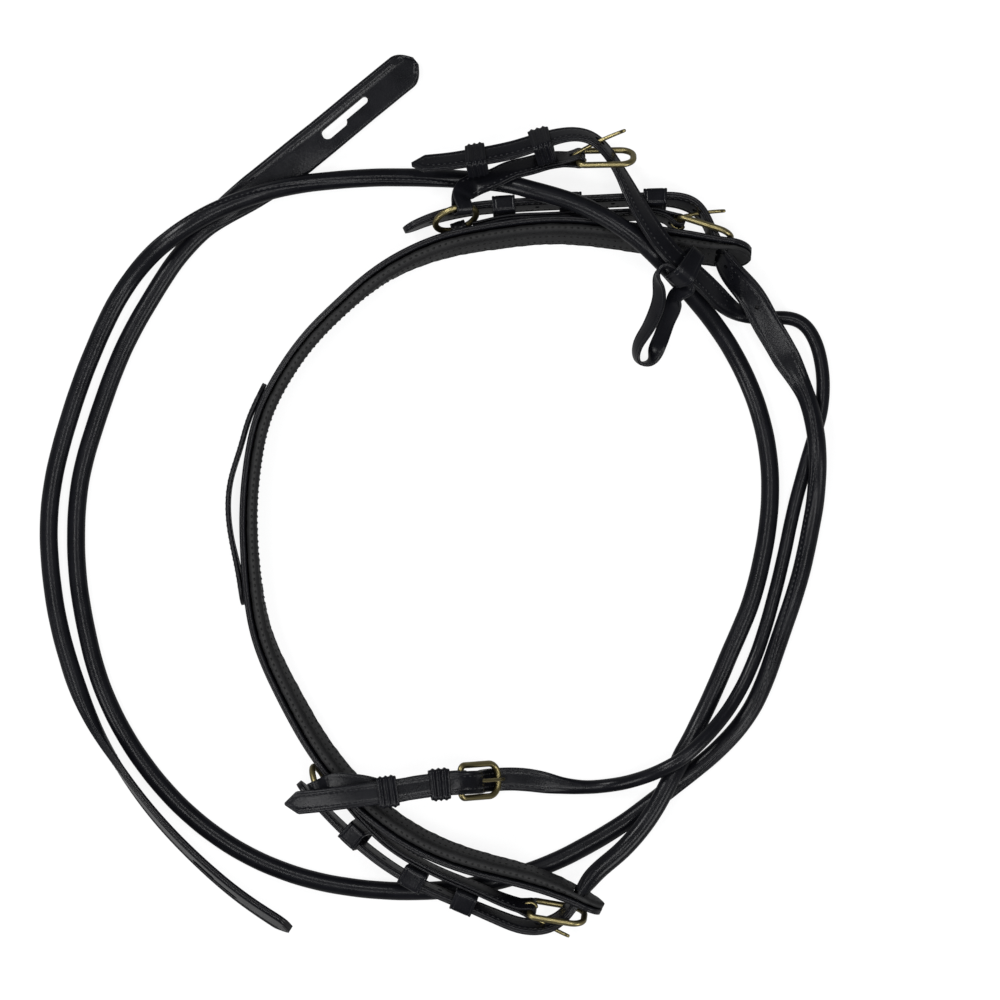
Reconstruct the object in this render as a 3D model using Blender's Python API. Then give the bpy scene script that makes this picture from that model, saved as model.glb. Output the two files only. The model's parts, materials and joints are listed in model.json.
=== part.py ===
"""Light driving breast collar with neck strap and a pair of rolled traces, laid out on a floor.

Metres, Z up, the floor at z = 0. The collar stands on its edge round the left of the layout, and the
neck strap and both traces lie over and beside it. Every strap is a loft along a route: a smooth curve
through hand-chosen stations, with a width, a thickness and a lean at each one.
"""
import math

import bmesh
import bpy
import numpy as np
from mathutils import Vector

# Layout scale: stations are given in picture units, one unit being this long, about this centre.
unit = 0.00057
centre_across = 434.8
centre_down = 495.97
mm = 0.001

# Driving dimensions, in millimetres.
gap = 0.35
collar_width = 26.0
collar_leather = 3.4
collar_padding = 5.4
trace_width = 16.0
trace_thickness = 3.4
trace_roll = 10.4
trace_end_width = 22.0
trace_end_thickness = 4.0
neck_width = 13.2
neck_thickness = 3.0
neck_roll = 7.8
tab_leather = 1.5
keeper_leather = 1.5
keeper_length = 13.0
brass_wire = 3.6
tongue_wire = 2.4
ring_middle = 24.2
buckle_length = 30.8
loop_width = 9.5
loop_thickness = 2.0
slot_length = 34.0
slot_width = 7.6
slot_from_tip = 51.6
slot_lip = 2.6
slot_step = 0.45
slot_ledge = 0.3
billet_hole = 2.6
lining_inset = 0.8

# Fits that follow from them.
layer_gap = 2 * gap
collar_stack = collar_leather + layer_gap + collar_padding
trace_buckle_half = trace_width / 2 + 0.8 + brass_wire / 2
neck_buckle_half = neck_width / 2 + 0.9 + brass_wire / 2
eye_radius = brass_wire / 2 + gap + tab_leather / 2
tongue_ring = brass_wire / 2 + gap + tongue_wire / 2
window_share = 0.6667


# Scene, collections and materials

for old in list(bpy.data.objects):
    bpy.data.objects.remove(old, do_unlink=True)

model = bpy.data.collections.new("breast_collar")
bpy.context.scene.collection.children.link(model)
cutters = bpy.data.collections.new("cutters")
bpy.context.scene.collection.children.link(cutters)


def material(name, colour, roughness, metallic):
    made = bpy.data.materials.new(name)
    made.use_nodes = True
    shader = made.node_tree.nodes["Principled BSDF"]
    shader.inputs["Base Color"].default_value = (*colour, 1.0)
    shader.inputs["Roughness"].default_value = roughness
    shader.inputs["Metallic"].default_value = metallic
    return made


black_leather = (0.014, 0.014, 0.017)
lining_grey = (0.032, 0.031, 0.030)
brass_gold = (0.62, 0.50, 0.26)


def leather(name):
    return material(name + "_leather", black_leather, 0.42, 0.0)


def brass(name):
    return material(name + "_brass", brass_gold, 0.22, 1.0)


def finish(obj, name, finish_material, smooth=True):
    """Names the object, gives it its material and links it."""
    obj.name = name
    obj.data.name = name
    obj.data.materials.append(finish_material)
    if smooth and obj.type == "MESH":
        obj.data.polygons.foreach_set("use_smooth", [True] * len(obj.data.polygons))
    model.objects.link(obj)
    return obj


def unit_vector(v):
    return v / np.maximum(np.linalg.norm(v, axis=-1, keepdims=True), 1e-12)


def spot(across, down, height):
    """A picture position and a height in millimetres, as a point in metres."""
    return np.array([(across - centre_across) * unit, (centre_down - down) * unit, height * mm])


def spline(knots, values, where):
    """Natural cubic spline through the values at the knots."""
    n = len(knots)
    h = np.diff(knots)
    a = np.zeros((n, n))
    b = np.zeros((n, values.shape[1]))
    a[0, 0] = a[-1, -1] = 1.0
    for i in range(1, n - 1):
        a[i, i - 1] = h[i - 1]
        a[i, i] = 2 * (h[i - 1] + h[i])
        a[i, i + 1] = h[i]
        b[i] = 6 * ((values[i + 1] - values[i]) / h[i] - (values[i] - values[i - 1]) / h[i - 1])
    m = np.linalg.solve(a, b)
    k = np.clip(np.searchsorted(knots, where, side="right") - 1, 0, n - 2)
    t0 = (where - knots[k])[:, None]
    t1 = (knots[k + 1] - where)[:, None]
    hk = h[k][:, None]
    return (
        m[k] * t1**3 / (6 * hk)
        + m[k + 1] * t0**3 / (6 * hk)
        + (values[k] / hk - m[k] * hk / 6) * t1
        + (values[k + 1] / hk - m[k + 1] * hk / 6) * t0
    )


class Route:
    """A strap's middle line. Stations are (across, down, height, lean, width, thickness, squareness).

    Lean is the angle in degrees of the width from level, or a vector that the width follows.
    """

    def __init__(self, stations, smoothing=3.0):
        points = np.array([spot(*s[:3]) for s in stations])
        knots = np.concatenate([[0], np.cumsum(np.linalg.norm(np.diff(points, axis=0), axis=1))])
        tangents = unit_vector(np.gradient(points, knots, axis=0))
        sides = []
        for station, tangent in zip(stations, tangents):
            lean = station[3]
            if np.ndim(lean):
                side = np.array(lean, float)
            else:
                level = unit_vector(np.array([-tangent[1], tangent[0], 0.0]))
                side = level * math.cos(math.radians(lean)) + np.array([0, 0, math.sin(math.radians(lean))])
            side = unit_vector(side - tangent * (side @ tangent))
            if sides and sides[-1] @ side < 0:
                side = -side
            sides.append(side)
        count = max(int(knots[-1] / (1.0 * mm)), 20)
        where = np.linspace(0, knots[-1], count)
        line = spline(knots, points, where)
        line = self.smoothed(line, smoothing)
        self.s = np.concatenate([[0], np.cumsum(np.linalg.norm(np.diff(line, axis=0), axis=1))])
        self.length = self.s[-1]
        self.line = line
        self.tangent = unit_vector(np.gradient(line, self.s, axis=0))
        side = np.column_stack([np.interp(where, knots, np.array(sides)[:, i]) for i in range(3)])
        side = self.smoothed(side, 4.0)
        side -= self.tangent * (side * self.tangent).sum(1)[:, None]
        self.side = unit_vector(side)
        self.normal = np.cross(self.tangent, self.side)
        sizes = np.array([s[4:7] for s in stations], float)
        shape = np.column_stack([np.interp(where, knots, sizes[:, i]) for i in range(3)])
        self.shape = self.smoothed(shape, 2.5)

    @staticmethod
    def smoothed(values, reach):
        """A moving average with a bell weight of that reach in millimetres, keeping the ends."""
        if reach <= 0:
            return values
        half = int(reach * 3)
        weight = np.exp(-0.5 * (np.arange(-half, half + 1) / reach) ** 2)
        weight /= weight.sum()
        start = 2 * values[0] - values[half:0:-1]
        end = 2 * values[-1] - values[-2 : -half - 2 : -1]
        padded = np.concatenate([start, values, end])
        columns = range(values.shape[1])
        return np.column_stack([np.convolve(padded[:, i], weight, mode="valid") for i in columns])

    def at(self, s):
        s = np.atleast_1d(s)
        columns = [self.line, self.tangent, self.side, self.normal, self.shape]
        return [np.column_stack([np.interp(s, self.s, c[:, i]) for i in range(c.shape[1])]) for c in columns]

    def nearest(self, across, down, low=0.0, high=1.0):
        """Length along the route of the point nearest to a picture position, between two shares of it."""
        target = spot(across, down, 0)
        far = ((self.line[:, :2] - target[:2]) ** 2).sum(1)
        keep = (self.s >= low * self.length) & (self.s <= high * self.length)
        return self.s[np.argmin(np.where(keep, far, 1e9))]

    def point(self, s, sideways, out):
        """Points beside the route, sideways along its width and out along its face, in metres."""
        line, tangent, side, normal, shape = self.at(s)
        side = unit_vector(side)
        normal = unit_vector(normal)
        return line + side * np.reshape(sideways, (-1, 1)) + normal * np.reshape(out, (-1, 1))

    def steps(self, start, end, longest=17.0, turn=19.0):
        """Sample lengths between start and end, closer where the route bends or its shape changes."""
        inside = (self.s >= start) & (self.s <= end)
        s = np.concatenate([[start], self.s[inside], [end]])
        s = np.unique(s)
        line, tangent, side, normal, shape = self.at(s)
        bend = np.linalg.norm(np.diff(tangent, axis=0), axis=1)
        twist = np.linalg.norm(np.diff(side, axis=0), axis=1)
        swell = np.abs(np.diff(shape[:, :2], axis=0)).sum(1)
        cost = np.diff(s) / (longest * mm) + (bend + 0.6 * twist) / math.radians(turn) + swell / 3.0
        total = np.concatenate([[0], np.cumsum(cost)])
        count = max(int(math.ceil(total[-1])), 2)
        return np.interp(np.linspace(0, total[-1], count + 1), total, s)


def mesh_object(name, points, faces):
    mesh = bpy.data.meshes.new(name)
    mesh.from_pydata([tuple(p) for p in points], [], [tuple(f) for f in faces])
    mesh.update()
    return bpy.data.objects.new(name, mesh)


def loft_faces(rings, around, closed=False):
    """Quads between rings of points, with end caps unless the loft closes on itself."""
    faces = []
    last = rings if closed else rings - 1
    for i in range(last):
        j = (i + 1) % rings
        for k in range(around):
            m = (k + 1) % around
            faces.append((i * around + k, i * around + m, j * around + m, j * around + k))
    if not closed:
        faces.append(tuple(range(around))[::-1])
        faces.append(tuple((rings - 1) * around + k for k in range(around)))
    return faces


def outward(obj):
    """Turns every face of a closed mesh outwards."""
    bm = bmesh.new()
    bm.from_mesh(obj.data)
    bmesh.ops.recalc_face_normals(bm, faces=bm.faces)
    if bm.calc_volume(signed=True) < 0:
        bmesh.ops.reverse_faces(bm, faces=bm.faces)
    bm.to_mesh(obj.data)
    bm.free()
    return obj


def section(width, thickness, square, around):
    """A rounded section, from an ellipse at 2 to nearly a rectangle at 8."""
    angle = (np.arange(around) + 0.5) / around * 2 * np.pi
    c = np.cos(angle)
    s = np.sin(angle)
    x = np.sign(c) * np.abs(c) ** (2 / square) * width / 2
    y = np.sign(s) * np.abs(s) ** (2 / square) * thickness / 2
    return x, y


# How far each kind of tip reaches, as a share of the strap's half width
tip_reach = {"round": 1.0, "blunt": 0.95, "point": 1.1}


def strap(name, route, start, end, paint, tips=("flat", "flat"), out=0.0, around=10, width=None,
          thickness=None, longest=17.0, turn=19.0, steps=None):
    """A strap lofted along a route. A tip is flat, round, blunt or point.

    out and thickness can be functions of the route's own thickness there, for a layer of a stack.
    """
    s = route.steps(start, end, longest, turn) if steps is None else steps
    scale = np.ones(len(s))
    extra = np.array([0.0, 0.06, 0.25, 0.6, 1.0])
    narrowing = {"round": np.maximum(np.sqrt(1 - (1 - extra) ** 2), 0.2),
    "blunt": 1 - 0.8 * (1 - extra) ** 2,
                 "point": 0.12 + 0.88 * extra}
    if tips[0] != "flat":
        reach = (width if width else route.at(start)[4][0, 0]) * mm / 2 * tip_reach[tips[0]]
        keep = s > start + reach * 1.02
        s = np.concatenate([start + reach * extra, s[keep]])
        scale = np.concatenate([narrowing[tips[0]], np.ones(keep.sum())])
    if tips[1] != "flat":
        reach = (width if width else route.at(end)[4][0, 0]) * mm / 2 * tip_reach[tips[1]]
        keep = s < end - reach * 1.02
        s = np.concatenate([s[keep], end - reach * extra[::-1]])
        scale = np.concatenate([scale[keep], narrowing[tips[1]][::-1]])
    shape = route.at(s)[4]
    rings = []
    for i, here in enumerate(s):
        w = (width if width else shape[i, 0]) * scale[i]
        t = thickness if thickness else shape[i, 1]
        t = t(shape[i, 1]) if callable(t) else t
        away = out(shape[i, 1]) if callable(out) else out
        x, y = section(w * mm, t * mm, shape[i, 2], around)
        rings.append(route.point(np.full(around, here), x, y + away * mm))
    obj = mesh_object(name, np.concatenate(rings), loft_faces(len(s), around))
    return finish(outward(obj), name, paint)


def band(name, route, middle, half_width, below, above, wall, length, paint, corner=None, count=12, ribs=0):
    """A keeper: a closed leather band round the route at one place, following the route's own bend.

    The opening reaches half_width to each side, below and above the route's middle, in millimetres.
    """
    corner = corner if corner else min((above + below) / 2 * 0.75, half_width * 0.6)
    half_wall = wall / 2
    outline = rounded_outline(half_width + half_wall, below + half_wall, above + half_wall,
                              corner + half_wall, count)
    ahead = np.roll(outline, -1, axis=0) - np.roll(outline, 1, axis=0)
    facing = unit_vector(np.column_stack([ahead[:, 1], -ahead[:, 0]]))
    profile = [(-length / 2, -wall / 2), (length / 2, -wall / 2), (length / 2, wall / 2)]
    if ribs:
        for k in range(ribs):
            mid = (ribs - 1 - 2 * k) / 2 * length / (ribs + 0.6)
            profile += [(mid + 1.1, wall / 2), (mid, wall / 2 + 0.7), (mid - 1.1, wall / 2)]
    profile.append((-length / 2, wall / 2))
    rings = []
    for at, way in zip(outline, facing):
        s = np.array([middle + p[0] * mm for p in profile])
        x = np.array([(at[0] + way[0] * p[1]) * mm for p in profile])
        y = np.array([(at[1] + way[1] * p[1]) * mm for p in profile])
        rings.append(route.point(s, x, y))
    obj = mesh_object(name, np.concatenate(rings), loft_faces(len(outline), len(profile), closed=True))
    return finish(outward(obj), name, paint, smooth=False)


def rounded_outline(half_width, below, above, corner, count):
    """Points round a rectangle with rounded corners, anticlockwise."""
    per = count // 4
    corners = [(half_width - corner, above - corner, 0), (-half_width + corner, above - corner, 90),
               (-half_width + corner, -below + corner, 180), (half_width - corner, -below + corner, 270)]
    points = []
    for x, y, turn in corners:
        for k in range(per):
            a = math.radians(turn + 90 * k / (per - 1))
            points.append((x + corner * math.cos(a), y + corner * math.sin(a)))
    return np.array(points)


def ribbon(name, to_world, path, width, thickness, paint, closed=False, square=6.0, around=8):
    """A folded strap: a loft along a path of (length, out) points in millimetres.

    to_world turns (length, sideways, out) into points. Width is a number or one number per path point.
    """
    path = np.array(path, float)
    along = np.gradient(path, axis=0)
    if closed:
        along = np.roll(path, -1, axis=0) - np.roll(path, 1, axis=0)
    along = unit_vector(along)
    normal = np.column_stack([-along[:, 1], along[:, 0]])
    widths = np.full(len(path), width, float) if np.ndim(width) == 0 else np.array(width, float)
    rings = []
    for i in range(len(path)):
        x, y = section(widths[i], thickness, square, around)
        rings.append(to_world(path[i, 0] + normal[i, 0] * y, x, path[i, 1] + normal[i, 1] * y))
    obj = mesh_object(name, np.concatenate(rings), loft_faces(len(path), around, closed))
    return finish(outward(obj), name, paint)


def arc(centre, radius, start, end, count):
    """Points on an arc, from one angle to another in degrees."""
    angles = np.radians(np.linspace(start, end, count))
    return [(centre[0] + radius * math.cos(a), centre[1] + radius * math.sin(a)) for a in angles]


class Seat:
    """A buckle's place: its bar's middle, the way to its far end, and its bar's own direction."""

    def __init__(self, bar, far, lean):
        self.origin = np.array(bar, float)
        self.along = unit_vector(np.array(far, float) - self.origin)
        bar_way = np.array(lean, float)
        self.across = unit_vector(bar_way - self.along * (bar_way @ self.along))
        self.out = np.cross(self.along, self.across)

    def world(self, along, across, out):
        """Millimetres in the buckle's own directions, as points in metres."""
        along, across, out = np.broadcast_arrays(along, across, out)
        offset = along[..., None] * self.along + across[..., None] * self.across + out[..., None] * self.out
        return self.origin + offset * mm


def wire(name, points, radius, paint, closed, resolution=2, origin=None, taper=None):
    """A round wire through the points, which are in metres. The object's origin is placed at origin."""
    origin = np.zeros(3) if origin is None else np.array(origin, float)
    curve = bpy.data.curves.new(name, "CURVE")
    curve.dimensions = "3D"
    curve.bevel_depth = radius * mm
    curve.bevel_resolution = resolution
    curve.use_fill_caps = not closed
    line = curve.splines.new("POLY")
    line.points.add(len(points) - 1)
    for i, p in enumerate(points):
        line.points[i].co = (*(p - origin), 1.0)
        if taper is not None:
            line.points[i].radius = taper[i]
    line.use_cyclic_u = closed
    line.use_smooth = True
    obj = bpy.data.objects.new(name, curve)
    obj.location = Vector(origin)
    return finish(obj, name, paint)


def buckle(name, seat, half, bow=0.0):
    """A D-shaped wire frame and its tongue. bow lifts the side wires' middle."""
    length = buckle_length
    far = 7.8
    near = 3.2
    outline = []
    outline += arc((near, -half + near), near, 180, 270, 4)
    outline += [(x, -half) for x in np.linspace(near, length - far, 6)[1:-1]]
    outline += arc((length - far, -half + far), far, 270, 360, 6)
    outline += arc((length - far, half - far), far, 0, 90, 6)
    outline += [(x, half) for x in np.linspace(length - far, near, 6)[1:-1]]
    outline += arc((near, half - near), near, 90, 180, 4)
    outline = np.array(outline)
    outline[:, 0] = np.where(outline[:, 0] > length, length, outline[:, 0])
    raised = bow * np.sin(np.pi * np.clip(outline[:, 0] / length, 0, 1))
    points = seat.world(outline[:, 0], outline[:, 1], raised)
    frame = wire(name + "_frame", points, brass_wire / 2, brass(name + "_frame"), True, 2, seat.origin)
    return frame


def tongue(name, seat, tip, hand, bend=0.0):
    """A tongue whose ring goes round the bar. Its tip is at (along, out), and hand is the side it leaves.

    Returns the object, and the middle line of its shaft in metres.
    """
    tip = np.array(tip, float)
    towards = math.degrees(math.atan2(tip[1], tip[0]))
    leave = towards + hand * math.degrees(math.acos(tongue_ring / np.linalg.norm(tip)))
    ring = arc((0.0, 0.0), tongue_ring, leave + hand * 238, leave, 11)
    start = np.array(ring[-1])
    across = unit_vector(np.array([-(tip - start)[1], (tip - start)[0]])) * hand
    share = np.linspace(0, 1, 9)[1:]
    shaft = [start + (tip - start) * f + across * bend * math.sin(math.pi * f) for f in share]
    points = np.array(ring + shaft)
    taper = np.concatenate([np.ones(len(ring)), np.linspace(1.0, 0.72, len(shaft))])
    world = seat.world(points[:, 0], 0.0, points[:, 1])
    obj = wire(name, world, tongue_wire / 2, brass(name), False, 2, seat.origin, taper)
    return obj, world[len(ring) - 1 :]


def tongue_hole(strap_object, route, shaft, low, high, length=6.4):
    """A slanted oval hole in a strap where a tongue's shaft goes through it."""
    steps = np.linspace(0, len(shaft) - 1, 120)
    line = np.column_stack([np.interp(steps, np.arange(len(shaft)), shaft[:, i]) for i in range(3)])
    keep = np.nonzero((route.s > low) & (route.s < high))[0]
    apart = np.linalg.norm(route.line[keep][:, None] - line[None], axis=2)
    i, j = np.unravel_index(np.argmin(apart), apart.shape)
    j = min(max(j, 2), len(line) - 3)
    through = line[j + 2] - line[j - 2]
    tool = oval_hole(strap_object.name + "_hole", line[j], route.tangent[keep[i]], through, length,
                     tongue_wire + 1.0, 13.0)
    cut(strap_object, tool)
    print("tongue through", strap_object.name, "line apart mm", round(float(apart.min()) * 1000, 2))


def beside(route, s, sideways, out, width, thickness, flip=1.0, lift=0.0):
    """A station beside another route, sideways and out in millimetres."""
    point = route.point(s, sideways * mm, out * mm)[0] + np.array([0, 0, lift * mm])
    return station_of(point, route.at(s)[2][0] * flip, width, thickness)


def station_of(point, side, width, thickness):
    """A station at a point in metres."""
    return (point[0] / unit + centre_across, centre_down - point[1] / unit, point[2] / mm, tuple(side),
            width, thickness, 6.0)


def folded(name, route, first, last, paint, width, first_eye=None, last_eye=None, first_width=None):
    """A two-layer strap along a route, folded into an eye at its last end and, if given, at its first.

    first and last are lengths along the route in metres, and an eye's is its pin's place.
    """
    layer = (gap + tab_leather) / 2
    steps = route.steps(first + (6.5 if first_eye else 0.0) * mm, last - 6.5 * mm, 13, 20) / mm
    first_mm = first / mm
    last_mm = last / mm
    path = [(s, layer) for s in steps]
    path += arc((last_mm, 0.0), last_eye, 128, -128, 13)
    path += [(s, -layer) for s in steps[::-1]]
    if first_eye:
        path += arc((first_mm, 0.0), first_eye, -52, -308, 13)
    narrow = first_width if first_width else width
    widths = [np.interp(p[0], [first_mm + 3, first_mm + 12], [narrow, width]) for p in path]

    def to_world(length, sideways, out):
        length, sideways, out = np.broadcast_arrays(length, sideways, out)
        return route.point(length * mm, sideways * mm, out * mm)

    return ribbon(name, to_world, path, widths, tab_leather, paint, closed=first_eye is not None)


def cutter(name, points, faces):
    obj = mesh_object(name, points, faces)
    outward(obj)
    cutters.objects.link(obj)
    obj.hide_render = True
    obj.display_type = "WIRE"
    return obj


def cut(target, *tools):
    for tool in tools:
        modifier = target.modifiers.new("cut_" + tool.name, "BOOLEAN")
        modifier.operation = "DIFFERENCE"
        modifier.solver = "EXACT"
        modifier.object = tool


def oval_hole(name, centre, along, through, length, width, depth, count=12):
    """An oval prism: long along one direction, going through in another. Sizes in millimetres."""
    through = unit_vector(np.array(through, float))
    along = np.array(along, float)
    along = unit_vector(along - through * (along @ through))
    across = np.cross(through, along)
    straight = max(length - width, 0.0) / 2
    outline = []
    for k in range(count):
        a = (k + 0.5) / count * 2 * math.pi
        out_by = math.copysign(straight, math.cos(a))
        outline.append((math.cos(a) * width / 2 + out_by, math.sin(a) * width / 2))
    rings = []
    for level in (-depth / 2, depth / 2):
        rings.append([centre + (x * along + y * across + level * through) * mm for x, y in outline])
    return cutter(name, np.concatenate(rings), loft_faces(2, count))


def block(name, centre, ways, sizes):
    """A box with these half-extents in millimetres along three directions."""
    corners = []
    for z in (-1, 1):
        for x, y in ((-1, -1), (1, -1), (1, 1), (-1, 1)):
            corner = x * sizes[0] * ways[0] + y * sizes[1] * ways[1] + z * sizes[2] * ways[2]
            corners.append(centre + corner * mm)
    return cutter(name, np.array(corners), loft_faces(2, 4))


# Collar: stations of its whole stack, from the upper end round the left to the lower end

def collar_height(base, lean):
    """Height of the stack's middle when its lowest corner is at base."""
    a = math.radians(lean)
    return base + collar_width / 2 * math.cos(a) + collar_stack / 2 * math.sin(a)


collar_marks = [
    (751, 254.5, 27, 0.4, 6.6), (735, 254, 27, 0.4, 6.8), (715, 252, 26, 0.4, 8.0),
    (690, 248, 24, 0.4, collar_stack), (650, 241, 21, 0.4, collar_stack), (600, 234, 19, 0.4, collar_stack),
    (550, 231, 18, 0.4, collar_stack), (500, 236, 17, 0.4, collar_stack),
    (446, 246, 14, 0.4, collar_stack), (408, 260, 9, 0.4, collar_stack), (376, 278, 4, 0.4, collar_stack),
    (343, 305, 0, 0.4, collar_stack), (310, 338, 0, 0.4, collar_stack), (281, 379, 0, 0.4, collar_stack),
    (263, 416, 0, 0.4, collar_stack), (253, 460, 0, 0.4, collar_stack), (248.5, 510, 0, 0.4, collar_stack),
    (249.5, 550, 1, 0.4, collar_stack), (253.5, 590, 4, 0.4, collar_stack),
    (263, 636, 8, 0.4, collar_stack),
    (277, 670, 11, 0.5, collar_stack), (294, 703, 13, 0.6, collar_stack), (314, 738, 14, 1.0, collar_stack),
    (338, 771, 15, 2.0, collar_stack), (368, 803, 15, 4.0, collar_stack), (400, 828, 15, 6.5, collar_stack),
    (437, 848, 15, 9.0, collar_stack), (480, 863, 14, 11.0, collar_stack),
    (530, 876, 12, 11.4, collar_stack), (560, 887, 11, 11.2, 8.2), (585, 899, 10, 11.0, 6.8),
    (602, 908, 10, 10.8, 6.6),
]
collar = Route([(x, y, collar_height(base, lean), 90 + lean, collar_width, stack, 6.0)
                for x, y, lean, base, stack in collar_marks], smoothing=5.0)
collar_steps = collar.steps(0, collar.length, 16, 18)
collar_outer = strap("collar_outer", collar, 0, collar.length, leather("collar_outer"), ("round", "round"),
                     out=lambda stack: stack / 2 - collar_leather / 2, thickness=collar_leather,
                     steps=collar_steps)
collar_lining = strap("collar_lining", collar, 0, collar.length,
                      material("collar_lining_leather", lining_grey, 0.7, 0.0), ("round", "round"),
                      out=lambda stack: (-collar_leather - layer_gap) / 2, steps=collar_steps,
                      width=collar_width - 2 * lining_inset,
                      thickness=lambda stack: stack - collar_leather - layer_gap)


def collar_slot(name, across, down, low, high, raised):
    """A window through both layers, where a trace passes to its buckle."""
    s = collar.nearest(across, down, low, high)
    line, tangent, side, normal, shape = [v[0] for v in collar.at(s)]
    rail = collar_width / 2 - lining_inset - trace_width / 2
    tool = block(name, line + side * raised * rail * mm, (tangent, side, normal),
                 (7.5, trace_width / 2 + window_share * rail, 12.0))
    cut(collar_outer, tool)
    cut(collar_lining, tool)
    return s


upper_slot = collar_slot("upper_slot", 720.5, 251, 0.0, 0.2, 0.12)
lower_slot = collar_slot("lower_slot", 577, 895, 0.8, 1.0, 0.0)


# Traces and neck strap: stations run from each billet's tip, and the grain side is outwards

def flat(across, down, height, lean):
    """A station of a trace's flat part."""
    return (across, down, height, lean, trace_width, trace_thickness, 6.0)


def near_seat(seat, along, across, out):
    """A place in a buckle's own millimetres, as picture units and a height."""
    point = seat.world(along, across, out)
    return point[0] / unit + centre_across, centre_down - point[1] / unit, point[2] / mm


def rolled(across, down, height, lean=180):
    """A station of a trace's rolled part."""
    return (across, down, height, lean, trace_roll, trace_roll, 2.0)


def trace_end(across, down, height, lean):
    return (across, down, height, lean, trace_end_width, trace_end_thickness, 6.0)


def neck_flat(across, down, height, lean):
    return (across, down, height, lean, neck_width, neck_thickness, 6.0)


def neck_round(across, down, height, lean=0):
    return (across, down, height, lean, neck_roll, neck_roll, 2.0)


billet_height = gap + trace_width / 2 + 1.7
trace_floor = trace_roll / 2 + 0.05
neck_floor = neck_roll / 2 + 0.1

# Each buckle's bar, the way to its far end, and its bar's own way
neck_upper_seat = Seat(spot(579, 159, 22.0), spot(636, 158, 22.0), (0.0, -0.457, 0.89))
trace_upper_seat = Seat(spot(678, 224, 14.5), spot(730, 240.5, 14.3), (0.1, 0.36, 0.93))
trace_lower_seat = Seat(spot(530.5, 907, 24.0), spot(584, 916, 24.0), (0.05, -0.43, 0.9))
neck_lower_seat = Seat(spot(461, 781, 28.5), spot(497, 779, 7.0), (0.0, 1.0, 0.0))

# The width of each trace where it passes through its buckle, which is the bar's own way.
through_upper = (-0.1, -0.36, -0.93)
through_lower = (0.05, -0.43, 0.9)

upper_trace_route = Route([
    flat(404, 231, billet_height, -98), flat(425, 221.5, billet_height, -102),
    flat(450, 214, billet_height, -106), flat(475, 209, billet_height, -108),
    flat(503, 206.5, billet_height, -108), flat(537, 204.5, billet_height, -108),
    flat(571, 203, billet_height, -108), flat(605, 201.5, billet_height, -108),
    flat(636, 200, billet_height, -108),
    flat(657, 199.5, billet_height, -109),
    flat(*near_seat(trace_upper_seat, -4.6, 0.3, -13.5), -114),
    flat(*near_seat(trace_upper_seat, 4.4, 0.2, -13.6), -117),
    flat(*near_seat(trace_upper_seat, 10.5, 0.1, -11.0), through_upper),
    flat(*near_seat(trace_upper_seat, 15.6, 0.2, -5.9), through_upper),
    flat(*near_seat(trace_upper_seat, 19.7, 0.0, -0.8), through_upper),
    flat(*near_seat(trace_upper_seat, 23.9, -1.2, 3.8), through_upper),
    flat(720, 252.5, 14.8, -116), flat(724.5, 262, 15.0, -128), flat(730, 271.5, 15.4, -139),
    flat(739.5, 283, 15.6, -149), flat(750.5, 296, 15.6, -159), flat(762, 317, 13.8, -168),
    flat(775, 339, 12.0, -176), flat(787, 360, 10.4, -180),
    (798, 380, 10.4, 180, 12.5, 6.0, 3.0), (805, 394, 10.8, 180, 10.6, 9.0, 2.2),
    rolled(811, 412, 12.8), rolled(815, 432, 14.0), rolled(817, 452, 13.1), rolled(817, 476, 9.4),
    rolled(814.5, 505, 6.2), rolled(809, 535, trace_floor), rolled(803, 564, trace_floor),
    rolled(792, 602, trace_floor), rolled(779, 640, trace_floor), rolled(766, 677, trace_floor),
    rolled(750, 711, trace_floor), rolled(730, 737, trace_floor), rolled(706, 760, trace_floor),
    rolled(680, 780.5, trace_floor), rolled(652, 802, trace_floor), rolled(625, 822, trace_floor),
    rolled(592, 842, trace_floor), rolled(560, 859, trace_floor), rolled(530, 871, trace_floor),
    rolled(482, 884, trace_floor), rolled(430, 890.5, trace_floor), rolled(380, 890, trace_floor),
    rolled(320, 881.5, trace_floor), rolled(260, 861, trace_floor), rolled(206, 828, trace_floor),
    rolled(161, 785, trace_floor), rolled(126, 736, trace_floor), rolled(100.5, 682, trace_floor),
    rolled(85, 622, trace_floor), rolled(77.5, 570, trace_floor), rolled(76.5, 525, trace_floor),
    rolled(81, 478, trace_floor), rolled(94, 430, trace_floor), rolled(110, 383, trace_floor),
    rolled(129, 338, trace_floor), rolled(156, 291, trace_floor), rolled(178, 258, trace_floor),
    rolled(192.5, 241.5, trace_floor), (206, 227.5, 4.9, 180, 11.4, 8.6, 2.4),
    (221, 214.5, 3.8, 180, 14.6, 6.0, 3.2),
    (236, 203.5, 3.0, 180, 17.4, 4.8, 4.5), (251, 193, 2.6, 180, 19.6, 4.3, 6.0),
    (270, 179.5, 2.5, 180, 21.2, trace_end_thickness, 6.0), trace_end(294.5, 160.5, 3.3, 177),
    trace_end(325, 136, 4.5, 169), trace_end(355.6, 110.5, 5.0, 167), trace_end(386, 85.5, 4.9, 168),
    trace_end(416, 61, 4.7, 169),
], smoothing=4.0)

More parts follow.
